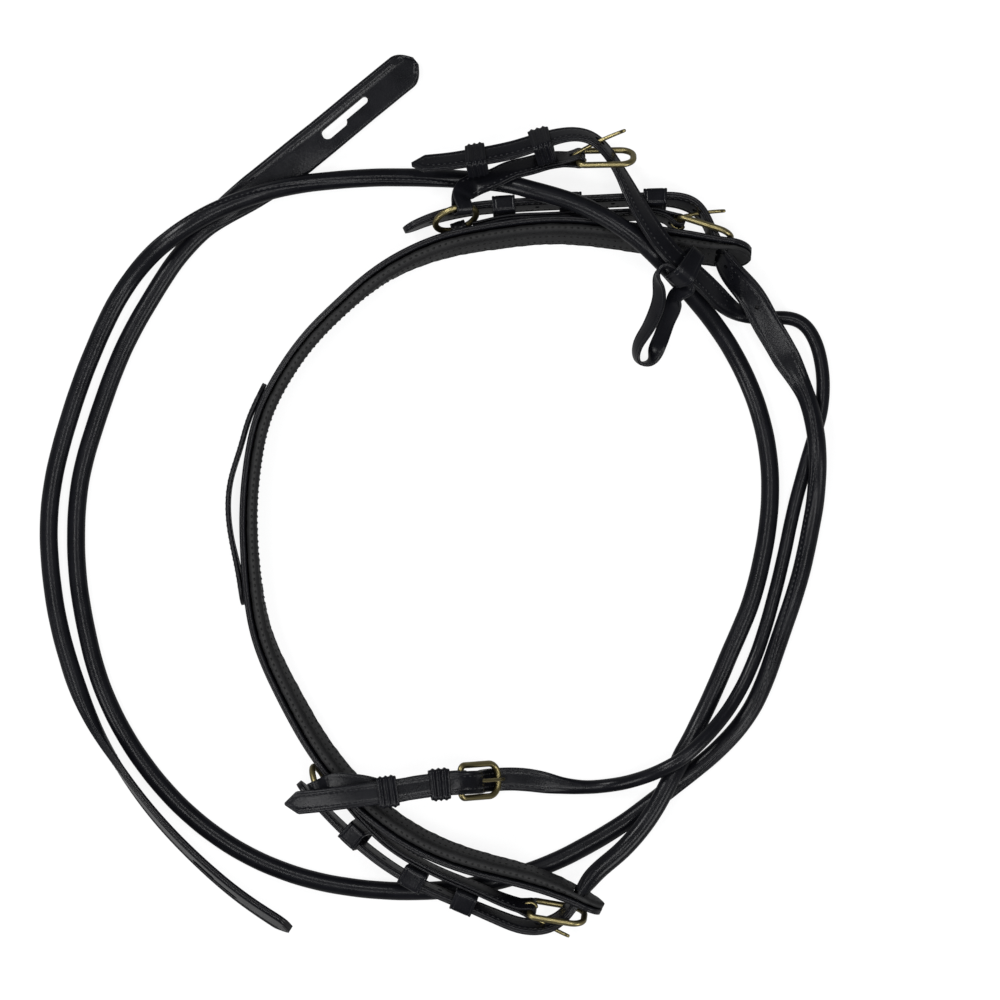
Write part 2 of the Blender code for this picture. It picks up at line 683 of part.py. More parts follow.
lower_trace_route = Route([
    flat(299, 782, 10.5, 96), flat(324, 809, 11.0, 100), flat(353, 837, 12.0, 103),
    flat(383, 861, 16.5, 104),
    flat(414, 880, 20.4, 104), flat(438, 891.5, 20.8, 105), flat(463, 901.5, 20.6, 107),
    flat(484, 910.5, 20.2, 109),
    flat(502, 918, 19.8, 112),
    flat(*near_seat(trace_lower_seat, -4.2, 0.4, 11.8), 114),
    flat(*near_seat(trace_lower_seat, 5.4, 0.1, 11.1), 115),
    flat(*near_seat(trace_lower_seat, 13.5, 0.4, 7.2), through_lower),
    flat(*near_seat(trace_lower_seat, 19.5, 0.1, 0.8), through_lower),
    flat(*near_seat(trace_lower_seat, 22.8, -1.6, -5.1), through_lower),
    (577.5, 895.5, 24.7, 99, 13.6, 5.6, 4.0),
    (583.5, 886.5, 24.4, 98, 11.2, 8.4, 2.4), rolled(591, 876.5, 22.8, 112),
    rolled(600, 867.5, 21.0, 142), rolled(610, 859.5, 19.6, 165), rolled(620, 851, 18.2, 178),
    rolled(631, 840, 17.2), rolled(644, 824, 16.4), rolled(656, 806, 16.3), rolled(665, 789, 16.0),
    rolled(674, 772, 14.8), (682, 756, 11.8, 180, 11.6, 8.8, 2.4), rolled(690, 740, 8.4),
    rolled(700, 720, 6.2),
    rolled(714, 690, trace_floor), rolled(731, 650, trace_floor), rolled(748, 610, trace_floor),
    rolled(760, 568, trace_floor), rolled(768, 522, trace_floor), rolled(770, 478, trace_floor),
    rolled(765, 436, 5.6), rolled(755, 400, 6.2), rolled(743, 372, 8.2), rolled(729, 346, 12.0),
    rolled(711, 320, 17.0), rolled(693, 298, 22.8), rolled(674, 276.5, 28.4), rolled(655, 256.5, 32.6),
    rolled(640, 242.5, 34.0), rolled(620, 227.5, 33.4), rolled(600, 215.5, 31.4), rolled(573, 203, 27.8),
    rolled(545, 194.3, 24.0), rolled(522, 188.0, 20.1), rolled(503, 183.4, 15.6), rolled(484, 181.4, 11.6),
    rolled(466, 180, 8.8), rolled(448, 178.8, 6.6), rolled(428, 178, trace_floor),
    rolled(400, 177.5, trace_floor),
    rolled(370, 178, trace_floor + 0.4), rolled(340, 180, 6.8), rolled(305, 184, 9.4),
    rolled(275, 190, 12.0),
    rolled(247, 198.5, 13.6), rolled(222, 208.5, 14.8), rolled(200, 219.5, 15.8), rolled(180, 232.5, 15.6),
    rolled(160, 248, 13.2), rolled(142, 266, 9.4), rolled(126, 287, 6.2), rolled(110, 315, trace_floor),
    rolled(94, 350, trace_floor), rolled(78, 392, trace_floor), rolled(64, 437, trace_floor),
    rolled(53.5, 481, trace_floor), rolled(49, 527, trace_floor), rolled(52, 580, trace_floor),
    rolled(61, 632, trace_floor, 170), rolled(75, 679, trace_floor, 140),
    (88, 712, 6.0, 112, 10.6, 8.6, 2.3), (101, 737, 7.4, 96, 13.0, 6.4, 3.2),
    (116, 761, 9.2, 88, 16.5, 4.6, 5.0),
    (134, 787, 10.8, 84, 20.0, trace_end_thickness, 6.0), trace_end(162, 822, 11.2, 82),
    trace_end(199, 860, 11.4, 80), trace_end(244, 898, 11.4, 78), trace_end(291, 929, 11.4, 76),
], smoothing=4.0)

neck_route = Route([
    neck_flat(412, 165.5, 22.0, -50), neck_flat(432, 164, 23.6, -50), neck_flat(452, 162, 25.4, -49),
    neck_flat(478, 158, 27.0, -47), neck_flat(503, 153.5, 27.4, -45), neck_flat(525, 147.5, 27.4, -46),
    neck_flat(543, 141.5, 27.6, -50), neck_flat(560, 137, 28.2, -57),
    neck_flat(*near_seat(neck_upper_seat, -1.5, -0.3, -15.0), -62),
    neck_flat(*near_seat(neck_upper_seat, 6.5, -0.1, -12.9), -65),
    neck_flat(*near_seat(neck_upper_seat, 12.7, 0.4, -8.0), -68),
    neck_flat(*near_seat(neck_upper_seat, 16.8, 0.3, -2.4), -70),
    neck_flat(*near_seat(neck_upper_seat, 19.9, 0.3, 2.8), -70),
    neck_flat(*near_seat(neck_upper_seat, 22.7, 2.0, 7.4), -68),
    neck_flat(624.5, 181, 21.6, -64),
    neck_flat(630, 192, 24.6, -58), neck_flat(636, 203.5, 28.6, -52), neck_flat(643, 216, 33.4, -46),
    neck_flat(651.5, 230, 38.6, -41), neck_flat(661, 243.5, 42.3, -38), neck_flat(672, 256.5, 43.7, -36),
    neck_flat(683, 266.5, 42.3, -36), neck_flat(695, 276.5, 38.0, -38), neck_flat(706, 286.5, 31.8, -40),
    neck_flat(717, 297.5, 24.0, -38), (728, 307, 13.6, -28, 11.5, 4.4, 4.0),
    (740, 314, 6.0, -15, 9.0, 6.5, 2.5),
    neck_round(754, 317.5, 4.3),
    neck_round(770, 318, neck_floor), neck_round(788, 318, neck_floor), neck_round(802, 323, neck_floor),
    neck_round(813, 337, neck_floor), neck_round(820.5, 360, neck_floor), neck_round(823, 385, neck_floor),
    neck_round(821, 410, neck_floor), neck_round(813, 440, neck_floor), neck_round(803, 474, neck_floor),
    neck_round(794, 508, neck_floor), neck_round(786, 545, neck_floor), neck_round(778, 580, neck_floor),
    neck_round(768, 618, neck_floor), neck_round(757, 652, 5.0), neck_round(742, 686, 8.6),
    neck_round(723, 716, 14.0), neck_round(703, 739, 20.4), neck_round(684, 756, 23.8),
    neck_round(664, 768, 22.8), neck_round(640, 778, 16.0), neck_round(610, 785, 6.4),
    neck_round(585, 787, neck_floor), (563, 785.5, 3.4, 0, 9.5, 5.6, 3.0),
    (545, 782.5, 2.6, 0, 12.4, 4.0, 4.5),
    neck_flat(525, 779.5, 2.1, 0), neck_flat(507, 779, 2.0, 0), neck_flat(496, 779.5, 2.2, 0),
    neck_flat(488.5, 780, 5.2, 0),
    neck_flat(*near_seat(neck_lower_seat, 22.4, -0.6, -3.3), 0),
    neck_flat(*near_seat(neck_lower_seat, 17.7, -0.5, -0.4), 0),
    neck_flat(*near_seat(neck_lower_seat, 13.8, -0.4, 3.0), 0),
    neck_flat(*near_seat(neck_lower_seat, 9.3, -0.4, 6.1), 0),
    neck_flat(*near_seat(neck_lower_seat, 2.8, -0.2, 8.3), 0),
    neck_flat(*near_seat(neck_lower_seat, -3.8, -0.1, 8.0), 0),
    neck_flat(455, 782, 38.6, 0), neck_flat(440, 783, 39.2, 0),
    neck_flat(414, 786.5, 40.4, 0), neck_flat(388, 790.5, 41.4, 0), neck_flat(360, 794, 41.6, 0),
    neck_flat(330, 798, 40.2, 0), neck_flat(303, 801, 37.6, 0), neck_flat(286, 802.5, 35.6, 0),
], smoothing=2.6)

trace_upper = strap("trace_upper", upper_trace_route, 0, upper_trace_route.length, leather("trace_upper"),
                    ("round", "blunt"))
trace_lower = strap("trace_lower", lower_trace_route, 0, lower_trace_route.length, leather("trace_lower"),
                    ("round", "blunt"))
neck_strap = strap("neck_strap", neck_route, 0, neck_route.length, leather("neck_strap"),
                   ("point", "point"))


def trace_slot(target, route, from_tip):
    """The long slot in a trace's flat end, its middle that far from the end in metres."""
    line, tangent, side, normal, shape = [v[0] for v in route.at(route.length - from_tip)]
    face = line - normal * trace_end_thickness * (1 - slot_step) * mm
    inner = line - tangent * slot_length / 4 * mm
    narrow = line - side * slot_lip / 2 * mm
    through_width = slot_width - 2 * slot_ledge
    cut(target,
        oval_hole(target.name + "_slot", face, tangent, normal, slot_length, slot_width,
                  trace_end_thickness),
        oval_hole(target.name + "_slot_inner", inner, tangent, normal, slot_length / 2 - slot_ledge,
                  through_width, 12.0),
        oval_hole(target.name + "_slot_outer", narrow, tangent, normal, slot_length - 3 * slot_ledge,
                  through_width - slot_lip, 12.1))


trace_slot(trace_upper, upper_trace_route, slot_from_tip * mm)
trace_slot(trace_lower, lower_trace_route, slot_from_tip * mm)


def adjusting_hole(target, route, across, down, high):
    """A round hole through a strap at the place nearest to a picture position."""
    line, tangent, side, normal, shape = [v[0] for v in route.at(route.nearest(across, down, 0.0, high))]
    cut(target, oval_hole(target.name + "_punch", line, tangent, normal, billet_hole, billet_hole, 8.0, 8))


adjusting_hole(trace_upper, upper_trace_route, 727, 267, 0.3)
adjusting_hole(trace_upper, upper_trace_route, 757, 308, 0.3)


# Neck rings and the chapes that hold them on the collar

class Ring:
    """A neck ring: its centre and the two directions of its plane, the second one upwards."""

    def __init__(self, name, centre, level, tilt):
        self.centre = spot(*centre)
        self.level = unit_vector(np.array([level[0], level[1], 0.0]))
        away = np.array([-self.level[1], self.level[0], 0.0])
        self.up = away * math.cos(math.radians(tilt)) + np.array([0, 0, math.sin(math.radians(tilt))])
        self.away = away
        turns = np.linspace(0, 2 * math.pi, 29)[:-1]
        points = np.array([self.at(math.degrees(a))[0] for a in turns])
        self.object = wire(name, points, brass_wire / 2, brass(name), True, 2, self.centre)

    def at(self, turn):
        """Point and wire direction, turned from the ring's top towards its level direction."""
        a = math.radians(turn)
        radius = ring_middle / 2 * mm
        return (self.centre + radius * (math.cos(a) * self.up + math.sin(a) * self.level),
                -math.sin(a) * self.up + math.cos(a) * self.level)


def ring_chape(name, ring, towards, reach, lean, width=8.6):
    """A strap folded over the ring's bottom wire, its tail lying down along the collar's outer face."""
    bottom, way = ring.at(180)
    inward = unit_vector(np.array([towards[0], towards[1], 0.0]))
    inward = unit_vector(inward - way * (inward @ way))
    up = np.cross(way, inward)
    up = up if up[2] > 0 else -up
    eye = brass_wire / 2 + gap + 0.55 + tab_leather / 2
    slope = math.tan(math.radians(lean))
    layer = tab_leather + gap
    path = [(reach - 7.2 * slope, -7.2), (reach - 3.5 * slope, -3.5)]
    path += [(reach - 0.3, -0.4), (reach * 0.8, 2.0)]
    path += arc((0.0, 0.35), eye, 62, 200, 9)
    path += [(-1.6, -3.6), (reach - layer - 4.2 * slope - 0.5, -4.9), (reach - layer - 7.2 * slope, -7.2)]

    def to_world(length, sideways, out):
        length, sideways, out = np.broadcast_arrays(length, sideways, out)
        offset = length[..., None] * inward + sideways[..., None] * way + out[..., None] * up
        return bottom + offset * mm

    return ribbon(name, to_world, path, width, tab_leather, leather(name))


upper_ring = Ring("ring_upper", (456, 219.4, 19.0), (0.947, 0.322), 62)
lower_ring = Ring("ring_lower", (322.6, 785.4, 20.2), (0.40, -0.917), 104)
upper_chape = ring_chape("ring_chape_upper", upper_ring, (0.2, -0.98), 3.3, 14)
lower_chape = ring_chape("ring_chape_lower", lower_ring, (0.75, 0.6), 3.6, 15)


# Martingale loop: a band standing on edge off the collar's outer face

def on_collar(across, down, out, low=0.0, high=1.0, thickness=2.5, width=20.0, sideways=0.0):
    """A station that far out from the collar's outer face, beside a picture position."""
    s = collar.nearest(across, down, low, high)
    stack = collar.at(s)[4][0, 1]
    return beside(collar, s, sideways, stack / 2 + out, width, thickness)


loop_off = gap + 0.15 + 1.25
martingale_route = Route([
    on_collar(277, 390, loop_off), on_collar(268, 408, loop_off), on_collar(262, 424, loop_off + 0.6),
    (241, 447, 13.4, (0.0, 0.0, 1.0), 20.0, 2.5, 6.0), (231, 480, 13.4, (0.0, 0.0, 1.0), 20.0, 2.5, 6.0),
    (228.5, 512, 13.4, (0.0, 0.0, 1.0), 20.0, 2.5, 6.0), (232, 540, 13.4, (0.0, 0.0, 1.0), 20.0, 2.5, 6.0),
    on_collar(252, 566, loop_off + 0.8), on_collar(256, 584, loop_off), on_collar(260, 603, loop_off),
], smoothing=3.0)
martingale_loop = strap("martingale_loop", martingale_route, 0, martingale_route.length,
                        leather("martingale_loop"), ("round", "round"), around=10)


# Buckles


for buckle_name, buckle_seat, half in (
    ("neck_upper_buckle", neck_upper_seat, neck_buckle_half),
    ("trace_upper_buckle", trace_upper_seat, trace_buckle_half),
    ("trace_lower_buckle", trace_lower_seat, trace_buckle_half),
    ("neck_lower_buckle", neck_lower_seat, neck_buckle_half),
):
    buckle(buckle_name, buckle_seat, half)

neck_upper_tongue, neck_upper_shaft = tongue("neck_upper_tongue", neck_upper_seat, (26.8, -17.2), -1, 0.8)
trace_upper_tongue, trace_upper_shaft = tongue("trace_upper_tongue", trace_upper_seat, (23.6, -16.4),
-1, 0.8)
trace_lower_tongue, trace_lower_shaft = tongue("trace_lower_tongue", trace_lower_seat, (24.6, 13.6), 1, 0.8)
neck_lower_tongue, neck_lower_shaft = tongue("neck_lower_tongue", neck_lower_seat, (32.4, 3.5), 1, 0.4)

tongue_hole(neck_strap, neck_route, neck_upper_shaft, 0.0, 0.2)
tongue_hole(trace_upper, upper_trace_route, trace_upper_shaft, 0.0, 0.25)
tongue_hole(trace_lower, lower_trace_route, trace_lower_shaft, 0.0, 0.25)
tongue_hole(neck_strap, neck_route, neck_lower_shaft, neck_route.length - 0.2, neck_route.length)


# Keepers: each opening reaches from just outside its billet to a depth on the tab's side

neck_upper_depth = 12.5
neck_lower_depth = 5.6
trace_upper_depth = 6.5
trace_lower_depth = 8.6


def keeper(name, route, across, down, low, high, strap_width, strap_thickness, depth, ribs=0,
           length=keeper_length):
    s = route.nearest(across, down, low, high)
    above = strap_thickness / 2 + gap + 0.1
    return band(name, route, s, strap_width / 2 + 0.5, depth - keeper_leather, above, keeper_leather, length,
                leather(name), corner=0.6, ribs=ribs)


for keeper_name, across, down, depth in (
    ("neck_upper_keeper_a", 476, 158, neck_upper_depth - 4.3),
    ("neck_upper_keeper_b", 541, 142, neck_upper_depth - 1.2),
):
    keeper(keeper_name, neck_route, across, down, 0.0, 0.2, neck_width, neck_thickness, depth, 3, 11.5)
for keeper_name, across, down in (("neck_lower_keeper_a", 388, 790.5), ("neck_lower_keeper_b", 440, 783)):
    keeper(keeper_name, neck_route, across, down, 0.8, 1.0, neck_width, neck_thickness, neck_lower_depth,
           3, 11.5)
for keeper_name, across, down in (
    ("trace_upper_keeper_a", 503, 206.5), ("trace_upper_keeper_b", 571, 203),
    ("trace_upper_keeper_c", 655, 199.5),
):
    keeper(keeper_name, upper_trace_route, across, down, 0.0, 0.3, trace_width, trace_thickness,
           trace_upper_depth)
for keeper_name, across, down in (
    ("trace_lower_keeper_a", 353, 837), ("trace_lower_keeper_b", 414, 880),
    ("trace_lower_keeper_c", 463, 901.5),
):
    keeper(keeper_name, lower_trace_route, across, down, 0.0, 0.3, trace_width, trace_thickness,
           trace_lower_depth)


# Neck tabs, from ring to bar, under the keepers

tab_half = tab_leather + gap / 2
tab_gap = gap + 0.35
rib_gap = gap + 0.75
eye_at_ring = brass_wire / 2 + gap + 1.15 + tab_leather / 2


def tab_beside(across, down, low, high, depth, lift=0.0):
    s = neck_route.nearest(across, down, low, high)
    return beside(neck_route, s, 0.0, -(depth + rib_gap + tab_half), neck_width, 3.4, flip=-1.0, lift=lift)


def straight_end(seat, inwards, width):
    """Two stations on the bar's line: at the bar and beyond it, for an eye coming from inwards."""
    way = unit_vector(np.array(inwards, float))
    way = unit_vector(way - seat.across * (way @ seat.across))
    return [station_of(seat.origin - way * 6 * mm, seat.across, width, 3.4),
            station_of(seat.origin, seat.across, width, 3.4),
            station_of(seat.origin + way * 6 * mm, seat.across, width, 3.4)]


def ring_end(ring, turn, outwards, width):
    """Three stations through a ring's wire, heading outwards from it."""
    point, wire_way = ring.at(turn)
    way = np.array(outwards, float)
    way = unit_vector(way - wire_way * (way @ wire_way))
    return [station_of(point - way * 6 * mm, wire_way, width, 3.4), station_of(point, wire_way, width, 3.4),
            station_of(point + way * 6 * mm, wire_way, width, 3.4)]


tab_upper_route = Route(
    ring_end(upper_ring, 27, (0.2, 0.93, -0.25), neck_width)
    + [(464.5, 191.5, 25.4, (0.86, -0.45, -0.1), neck_width, 3.4, 6.0),
       (470, 188, 21.6, (0.6, -0.75, 0.3), neck_width, 3.4, 6.0),
       (479, 184, 21.0, (0.35, -0.82, 0.5), neck_width, 3.4, 6.0),
       (491, 180.5, 22.6, (0.12, -0.75, 0.65), neck_width, 3.4, 6.0)]
    + [tab_beside(505, 153, 0.0, 0.2, neck_upper_depth, 3.6),
       tab_beside(523, 148, 0.0, 0.2, neck_upper_depth, 1.8),
       tab_beside(541, 142, 0.0, 0.2, neck_upper_depth)]
    + straight_end(neck_upper_seat, (1.0, 0.1, 0.05), neck_width),
    smoothing=2.0,
)
tab_lower_route = Route(
    ring_end(lower_ring, 0, (0.92, 0.4, 0.1), neck_width)
    + [(346, 783.5, 34.0, (0.1, -0.99, 0.0), neck_width, 3.4, 6.0),
       (365, 785.5, 34.0, (0.0, -1.0, 0.0), neck_width, 3.4, 6.0)]
    + [tab_beside(388, 790.5, 0.8, 1.0, neck_lower_depth),
       tab_beside(414, 786.5, 0.8, 1.0, neck_lower_depth),
       tab_beside(436, 783, 0.8, 1.0, neck_lower_depth)]
    + straight_end(neck_lower_seat, (0.97, 0.0, -0.25), neck_width),
    smoothing=2.0,
)


def pin_place(route, point):
    """Length along a route of the point nearest to a pin."""
    return route.s[np.argmin(np.linalg.norm(route.line - point, axis=1))]


def slot_for_tongue(target, route, seat, reach=5.4):
    """Opens an eye in the middle for the tongue's ring."""
    s = pin_place(route, seat.origin)
    tangent = route.at(s)[1][0]
    normal = np.cross(tangent, seat.across)
    tool = block(target.name + "_slot", seat.origin, (tangent, seat.across, normal),
                 (reach, tongue_wire / 2 + gap + 0.1, 6.5))
    cut(target, tool)


neck_tab_upper = folded("neck_tab_upper", tab_upper_route, pin_place(tab_upper_route, upper_ring.at(27)[0]),
                        pin_place(tab_upper_route, neck_upper_seat.origin), leather("neck_tab_upper"),
                        neck_width, eye_at_ring, eye_radius, 9.4)
neck_tab_lower = folded("neck_tab_lower", tab_lower_route, pin_place(tab_lower_route, lower_ring.at(0)[0]),
                        pin_place(tab_lower_route, neck_lower_seat.origin), leather("neck_tab_lower"),
                        neck_width, eye_at_ring, eye_radius, 9.4)
slot_for_tongue(neck_tab_upper, tab_upper_route, neck_upper_seat)
slot_for_tongue(neck_tab_lower, tab_lower_route, neck_lower_seat)


# Tugs, from the collar to each trace buckle's bar

tug_width = 14.0


def tug_beside(route, across, down, depth, flip):
    s = route.nearest(across, down, 0.0, 0.3)
    return beside(route, s, 0.0, -(depth + tab_gap + tab_half), tug_width, 3.4, flip=flip)


tug_off = gap + 0.15 + tab_half
tug_upper_route = Route(
    [on_collar(476, 240.5, tug_off, 0.0, 0.4, 3.4, tug_width, -1.0),
     on_collar(488, 238.5, tug_off + 0.5, 0.0, 0.4, 3.4, tug_width, -1.0)]
    + [tug_beside(upper_trace_route, x, y, trace_upper_depth, -1.0)
       for x, y in ((508, 206.5), (537, 204.5), (571, 203), (605, 201.5), (636, 200), (653, 199.5))]
    + straight_end(trace_upper_seat, (0.88, -0.45, 0.1), tug_width),
    smoothing=2.5,
)
tug_lower_route = Route(
    [on_collar(352, 787, tug_off, 0.6, 1.0, 3.4, tug_width, -1.0),
     on_collar(362, 797, tug_off + 0.6, 0.6, 1.0, 3.4, tug_width, -1.0)]
    + [tug_beside(lower_trace_route, x, y, trace_lower_depth, 1.0)
       for x, y in ((383, 861), (414, 880), (438, 891.5), (463, 901.5), (484, 910.5))]
    + straight_end(trace_lower_seat, (0.95, -0.3, 0.1), tug_width),
    smoothing=2.5,
)
tug_upper = folded("tug_upper", tug_upper_route, 0.0, pin_place(tug_upper_route, trace_upper_seat.origin),
                   leather("tug_upper"), tug_width, None, eye_radius)
tug_lower = folded("tug_lower", tug_lower_route, 0.0, pin_place(tug_lower_route, trace_lower_seat.origin),
                   leather("tug_lower"), tug_width, None, eye_radius)
slot_for_tongue(tug_upper, tug_upper_route, trace_upper_seat)
slot_for_tongue(tug_lower, tug_lower_route, trace_lower_seat)


# Rein runner on the neck strap, and the rein loop through its far side

runner_leather = 2.0
runner_half = neck_width / 2 + 3.1
runner_at = neck_route.nearest(684, 267, 0.0, 0.3)
runner_reach = loop_width / 2 + 2.05
rein_runner = band("rein_runner", neck_route, runner_at, runner_half, runner_reach, runner_reach,
                   runner_leather, loop_width, leather("rein_runner"), corner=3.7, count=32)


def loop_station(ahead, sideways=0.0):
    """A rein loop station inside the runner, beside the neck strap."""
    place = neck_width / 2 + gap + 0.1 + loop_thickness / 2 + sideways
    point = neck_route.point(runner_at + ahead * mm, -place * mm, 0.0)[0]
    normal = neck_route.at(runner_at)[3][0]
    return station_of(point, normal, loop_width - 0.9, loop_thickness)


def loop_corner(ahead, sideways, out, way):
    """A rein loop station near the runner, in millimetres from the loop's place in it."""
    place = neck_width / 2 + gap + 0.1 + loop_thickness / 2 + sideways
    centre, tangent, side, normal, shape = [v[0] for v in neck_route.at(runner_at)]
    point = centre + (tangent * ahead - side * place + normal * out) * mm
    return station_of(point, way, loop_width, loop_thickness)


rein_route = Route([
    loop_station(0.3), loop_station(3.0), loop_station(5.6), loop_station(8.0, 0.5),
    loop_corner(8.0, 2.9, -8.8, (0.6, 0.3, 0.75)),
    (673, 305, 31.0, (0.85, 0.2, 0.5), loop_width, loop_thickness, 6.0),
    (667, 321, 21.5, (0.95, 0.3, 0.1), loop_width, loop_thickness, 6.0),
    (660.5, 339, 12.5, (0.95, 0.35, 0.1), loop_width, loop_thickness, 6.0),
    (655, 353, 7.5, (0.8, 0.3, 0.5), loop_width, loop_thickness, 6.0),
    (648, 363.5, 5.4, (0.4, 0.1, 0.9), loop_width, loop_thickness, 6.0),
    (639, 363, 5.4, (0.1, 0.1, 0.95), loop_width, loop_thickness, 6.0),
    (636, 351, 8.0, (0.3, 0.1, 0.9), loop_width, loop_thickness, 6.0),
    (644, 334, 15.5, (0.45, 0.2, 0.85), loop_width, loop_thickness, 6.0),
    (653.5, 316, 26.5, (0.5, 0.3, 0.8), loop_width, loop_thickness, 6.0),
    (658.5, 299, 35.5, (0.4, 0.45, 0.8), loop_width, loop_thickness, 6.0),
    loop_corner(-5.1, 5.1, -10.9, (0.3, 0.6, 0.75)),
    loop_corner(-10.6, 1.6, -4.4, (0.35, 0.5, 0.75)),
    loop_station(-7.6, 0.2), loop_station(-5.0), loop_station(-3.0), loop_station(-0.3),
], smoothing=1.6)
rein_loop = strap("rein_loop", rein_route, 0, rein_route.length, leather("rein_loop"), around=8)


# Where the moving pieces turn and slide, for the record

def tell(name, point, way):
    numbers = [*point, *unit_vector(way)]
    print("JOINT", name, *[round(float(v), 6) for v in numbers])


for moving, seat in (("neck_upper", neck_upper_seat), ("trace_upper", trace_upper_seat),
                     ("trace_lower", trace_lower_seat), ("neck_lower", neck_lower_seat)):
    tell(moving + "_tongue", seat.origin, seat.across)
for moving, ring in (("ring_upper", upper_ring), ("ring_lower", lower_ring)):
    tell(moving, ring.centre, np.cross(ring.up, ring.level))
for moving, route, across, down, low, high in (
    ("neck_upper_keeper_a", neck_route, 476, 158, 0.0, 0.2),
    ("neck_lower_keeper_a", neck_route, 388, 790.5, 0.8, 1.0),
    ("neck_upper_keeper_b", neck_route, 541, 142, 0.0, 0.2),
    ("neck_lower_keeper_b", neck_route, 440, 783, 0.8, 1.0),
    ("trace_upper_keeper_a", upper_trace_route, 503, 206.5, 0.0, 0.3),
    ("trace_upper_keeper_b", upper_trace_route, 571, 203, 0.0, 0.3),
    ("trace_upper_keeper_c", upper_trace_route, 655, 199.5, 0.0, 0.3),
    ("trace_lower_keeper_a", lower_trace_route, 353, 837, 0.0, 0.3),
    ("trace_lower_keeper_b", lower_trace_route, 414, 880, 0.0, 0.3),
    ("trace_lower_keeper_c", lower_trace_route, 463, 901.5, 0.0, 0.3),
    ("rein_runner", neck_route, 684, 267, 0.0, 0.3),
):
    place = route.nearest(across, down, low, high)
    tell(moving, route.at(place)[0][0], route.at(place)[1][0])
for strap_name, route in (("collar", collar), ("trace_upper", upper_trace_route),
                          ("trace_lower", lower_trace_route), ("neck_strap", neck_route)):
    print("LENGTH", strap_name, round(float(route.length), 4), "m")
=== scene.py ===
# Looks for a light driving breast collar with its neck strap and rolled traces, laid out on a pale floor.
# Every strap is a section carried along a route, and the routes are the CAD part's own, in picture units.
import json
import math

import bpy
import numpy as np
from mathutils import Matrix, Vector

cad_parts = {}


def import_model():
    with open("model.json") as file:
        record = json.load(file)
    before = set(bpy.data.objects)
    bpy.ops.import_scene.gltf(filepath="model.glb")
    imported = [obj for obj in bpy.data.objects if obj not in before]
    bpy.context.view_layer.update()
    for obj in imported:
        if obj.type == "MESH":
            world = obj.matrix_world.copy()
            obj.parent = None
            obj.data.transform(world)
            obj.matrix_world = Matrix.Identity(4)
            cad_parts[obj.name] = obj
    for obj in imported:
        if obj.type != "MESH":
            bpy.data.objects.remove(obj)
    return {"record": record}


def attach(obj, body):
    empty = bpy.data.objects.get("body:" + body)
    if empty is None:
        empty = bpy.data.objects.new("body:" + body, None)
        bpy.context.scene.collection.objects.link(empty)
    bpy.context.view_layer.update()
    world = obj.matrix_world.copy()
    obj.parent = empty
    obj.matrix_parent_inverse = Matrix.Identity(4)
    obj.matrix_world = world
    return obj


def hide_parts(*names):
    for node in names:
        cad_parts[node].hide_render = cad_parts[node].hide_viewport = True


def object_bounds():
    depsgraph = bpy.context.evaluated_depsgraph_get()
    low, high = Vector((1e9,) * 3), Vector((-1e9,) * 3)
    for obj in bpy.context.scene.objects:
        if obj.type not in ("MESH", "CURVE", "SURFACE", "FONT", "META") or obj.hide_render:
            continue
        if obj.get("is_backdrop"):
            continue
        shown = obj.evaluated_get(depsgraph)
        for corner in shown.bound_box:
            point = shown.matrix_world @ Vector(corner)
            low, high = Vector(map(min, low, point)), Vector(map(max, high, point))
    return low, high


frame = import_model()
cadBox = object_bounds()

mm = 0.001
layout = {"unit": 0.00057, "across": 434.8, "down": 495.97}
gap = 0.35
collarSizes = {"width": 26.0, "outer": 3.4, "padding": 5.4}
traceSizes = {"width": 16.0, "thickness": 3.4, "roll": 10.4, "endWidth": 22.0, "endThickness": 4.0}
neckSizes = {"width": 13.2, "thickness": 3.0, "roll": 7.8}
tabLeather = 1.5
tabHalf = tabLeather + gap / 2
tabWidth = 13.2
tugWidth = 14.0
foldThickness = 3.4
keeperLeather = 1.5
brassWire = 3.6
tongueWire = 2.4
loopSizes = {"width": 9.5, "thickness": 2.0}
slotSizes = {"length": 34.0, "width": 7.6, "fromTip": 51.6, "lip": 2.6, "step": 0.45, "ledge": 0.3}
collarStack = collarSizes["outer"] + 2 * gap + collarSizes["padding"]
eyeRadius = brassWire / 2 + gap + tabLeather / 2
tongueRing = brassWire / 2 + gap + tongueWire / 2

# Camera and light first, so that every later stage can be looked at


def unitVector(v):
    return v / np.maximum(np.linalg.norm(v, axis=-1, keepdims=True), 1e-12)


def spot(across, down, height):
    # picture units and a height in millimetres, turned into metres
    return np.array([(across - layout["across"]) * layout["unit"], (layout["down"] - down) * layout["unit"],
                     height * mm])


def added(name, data):
    obj = bpy.data.objects.new(name, data)
    bpy.context.scene.collection.objects.link(obj)
    return obj


def fill(node, **inputs):
    for name, value in inputs.items():
        node.inputs[name.replace("_", " ")].default_value = value
    return node


def newMaterial(name, roughness, metallic=0.0, specular=0.5):
    made = bpy.data.materials.new(name)
    made.use_nodes = True
    tree = made.node_tree
    shader = fill(tree.nodes["Principled BSDF"], Roughness=roughness, Metallic=metallic,
                  Specular_IOR_Level=specular)
    return made, tree, shader, tree.nodes.new("ShaderNodeTexCoord").outputs["Object"]


studio = {
    "distance": 8.0, "pictureSide": 1000,
    "floorSide": 9.0, "floorColour": (0.13, 0.13, 0.131), "floorGlow": (0.24, 0.86),
    "skyColour": (0.90, 0.94, 1.0), "skyStrength": 0.20,
    "lamps": [
        ("key", (-2.1, 1.9, 2.3), 0.9, 70.0),
        ("fill", (2.3, -1.7, 1.3), 1.2, 42.0),
        ("back", (-2.2, -1.4, 1.1), 1.0, 32.0),
    ],
    "overhead": {"turns": (55, 85, 175, 205, 235, 285, 315, 345), "reach": 1.35, "height": 3.3, "size": 0.45,
                 "power": 15.0},
}


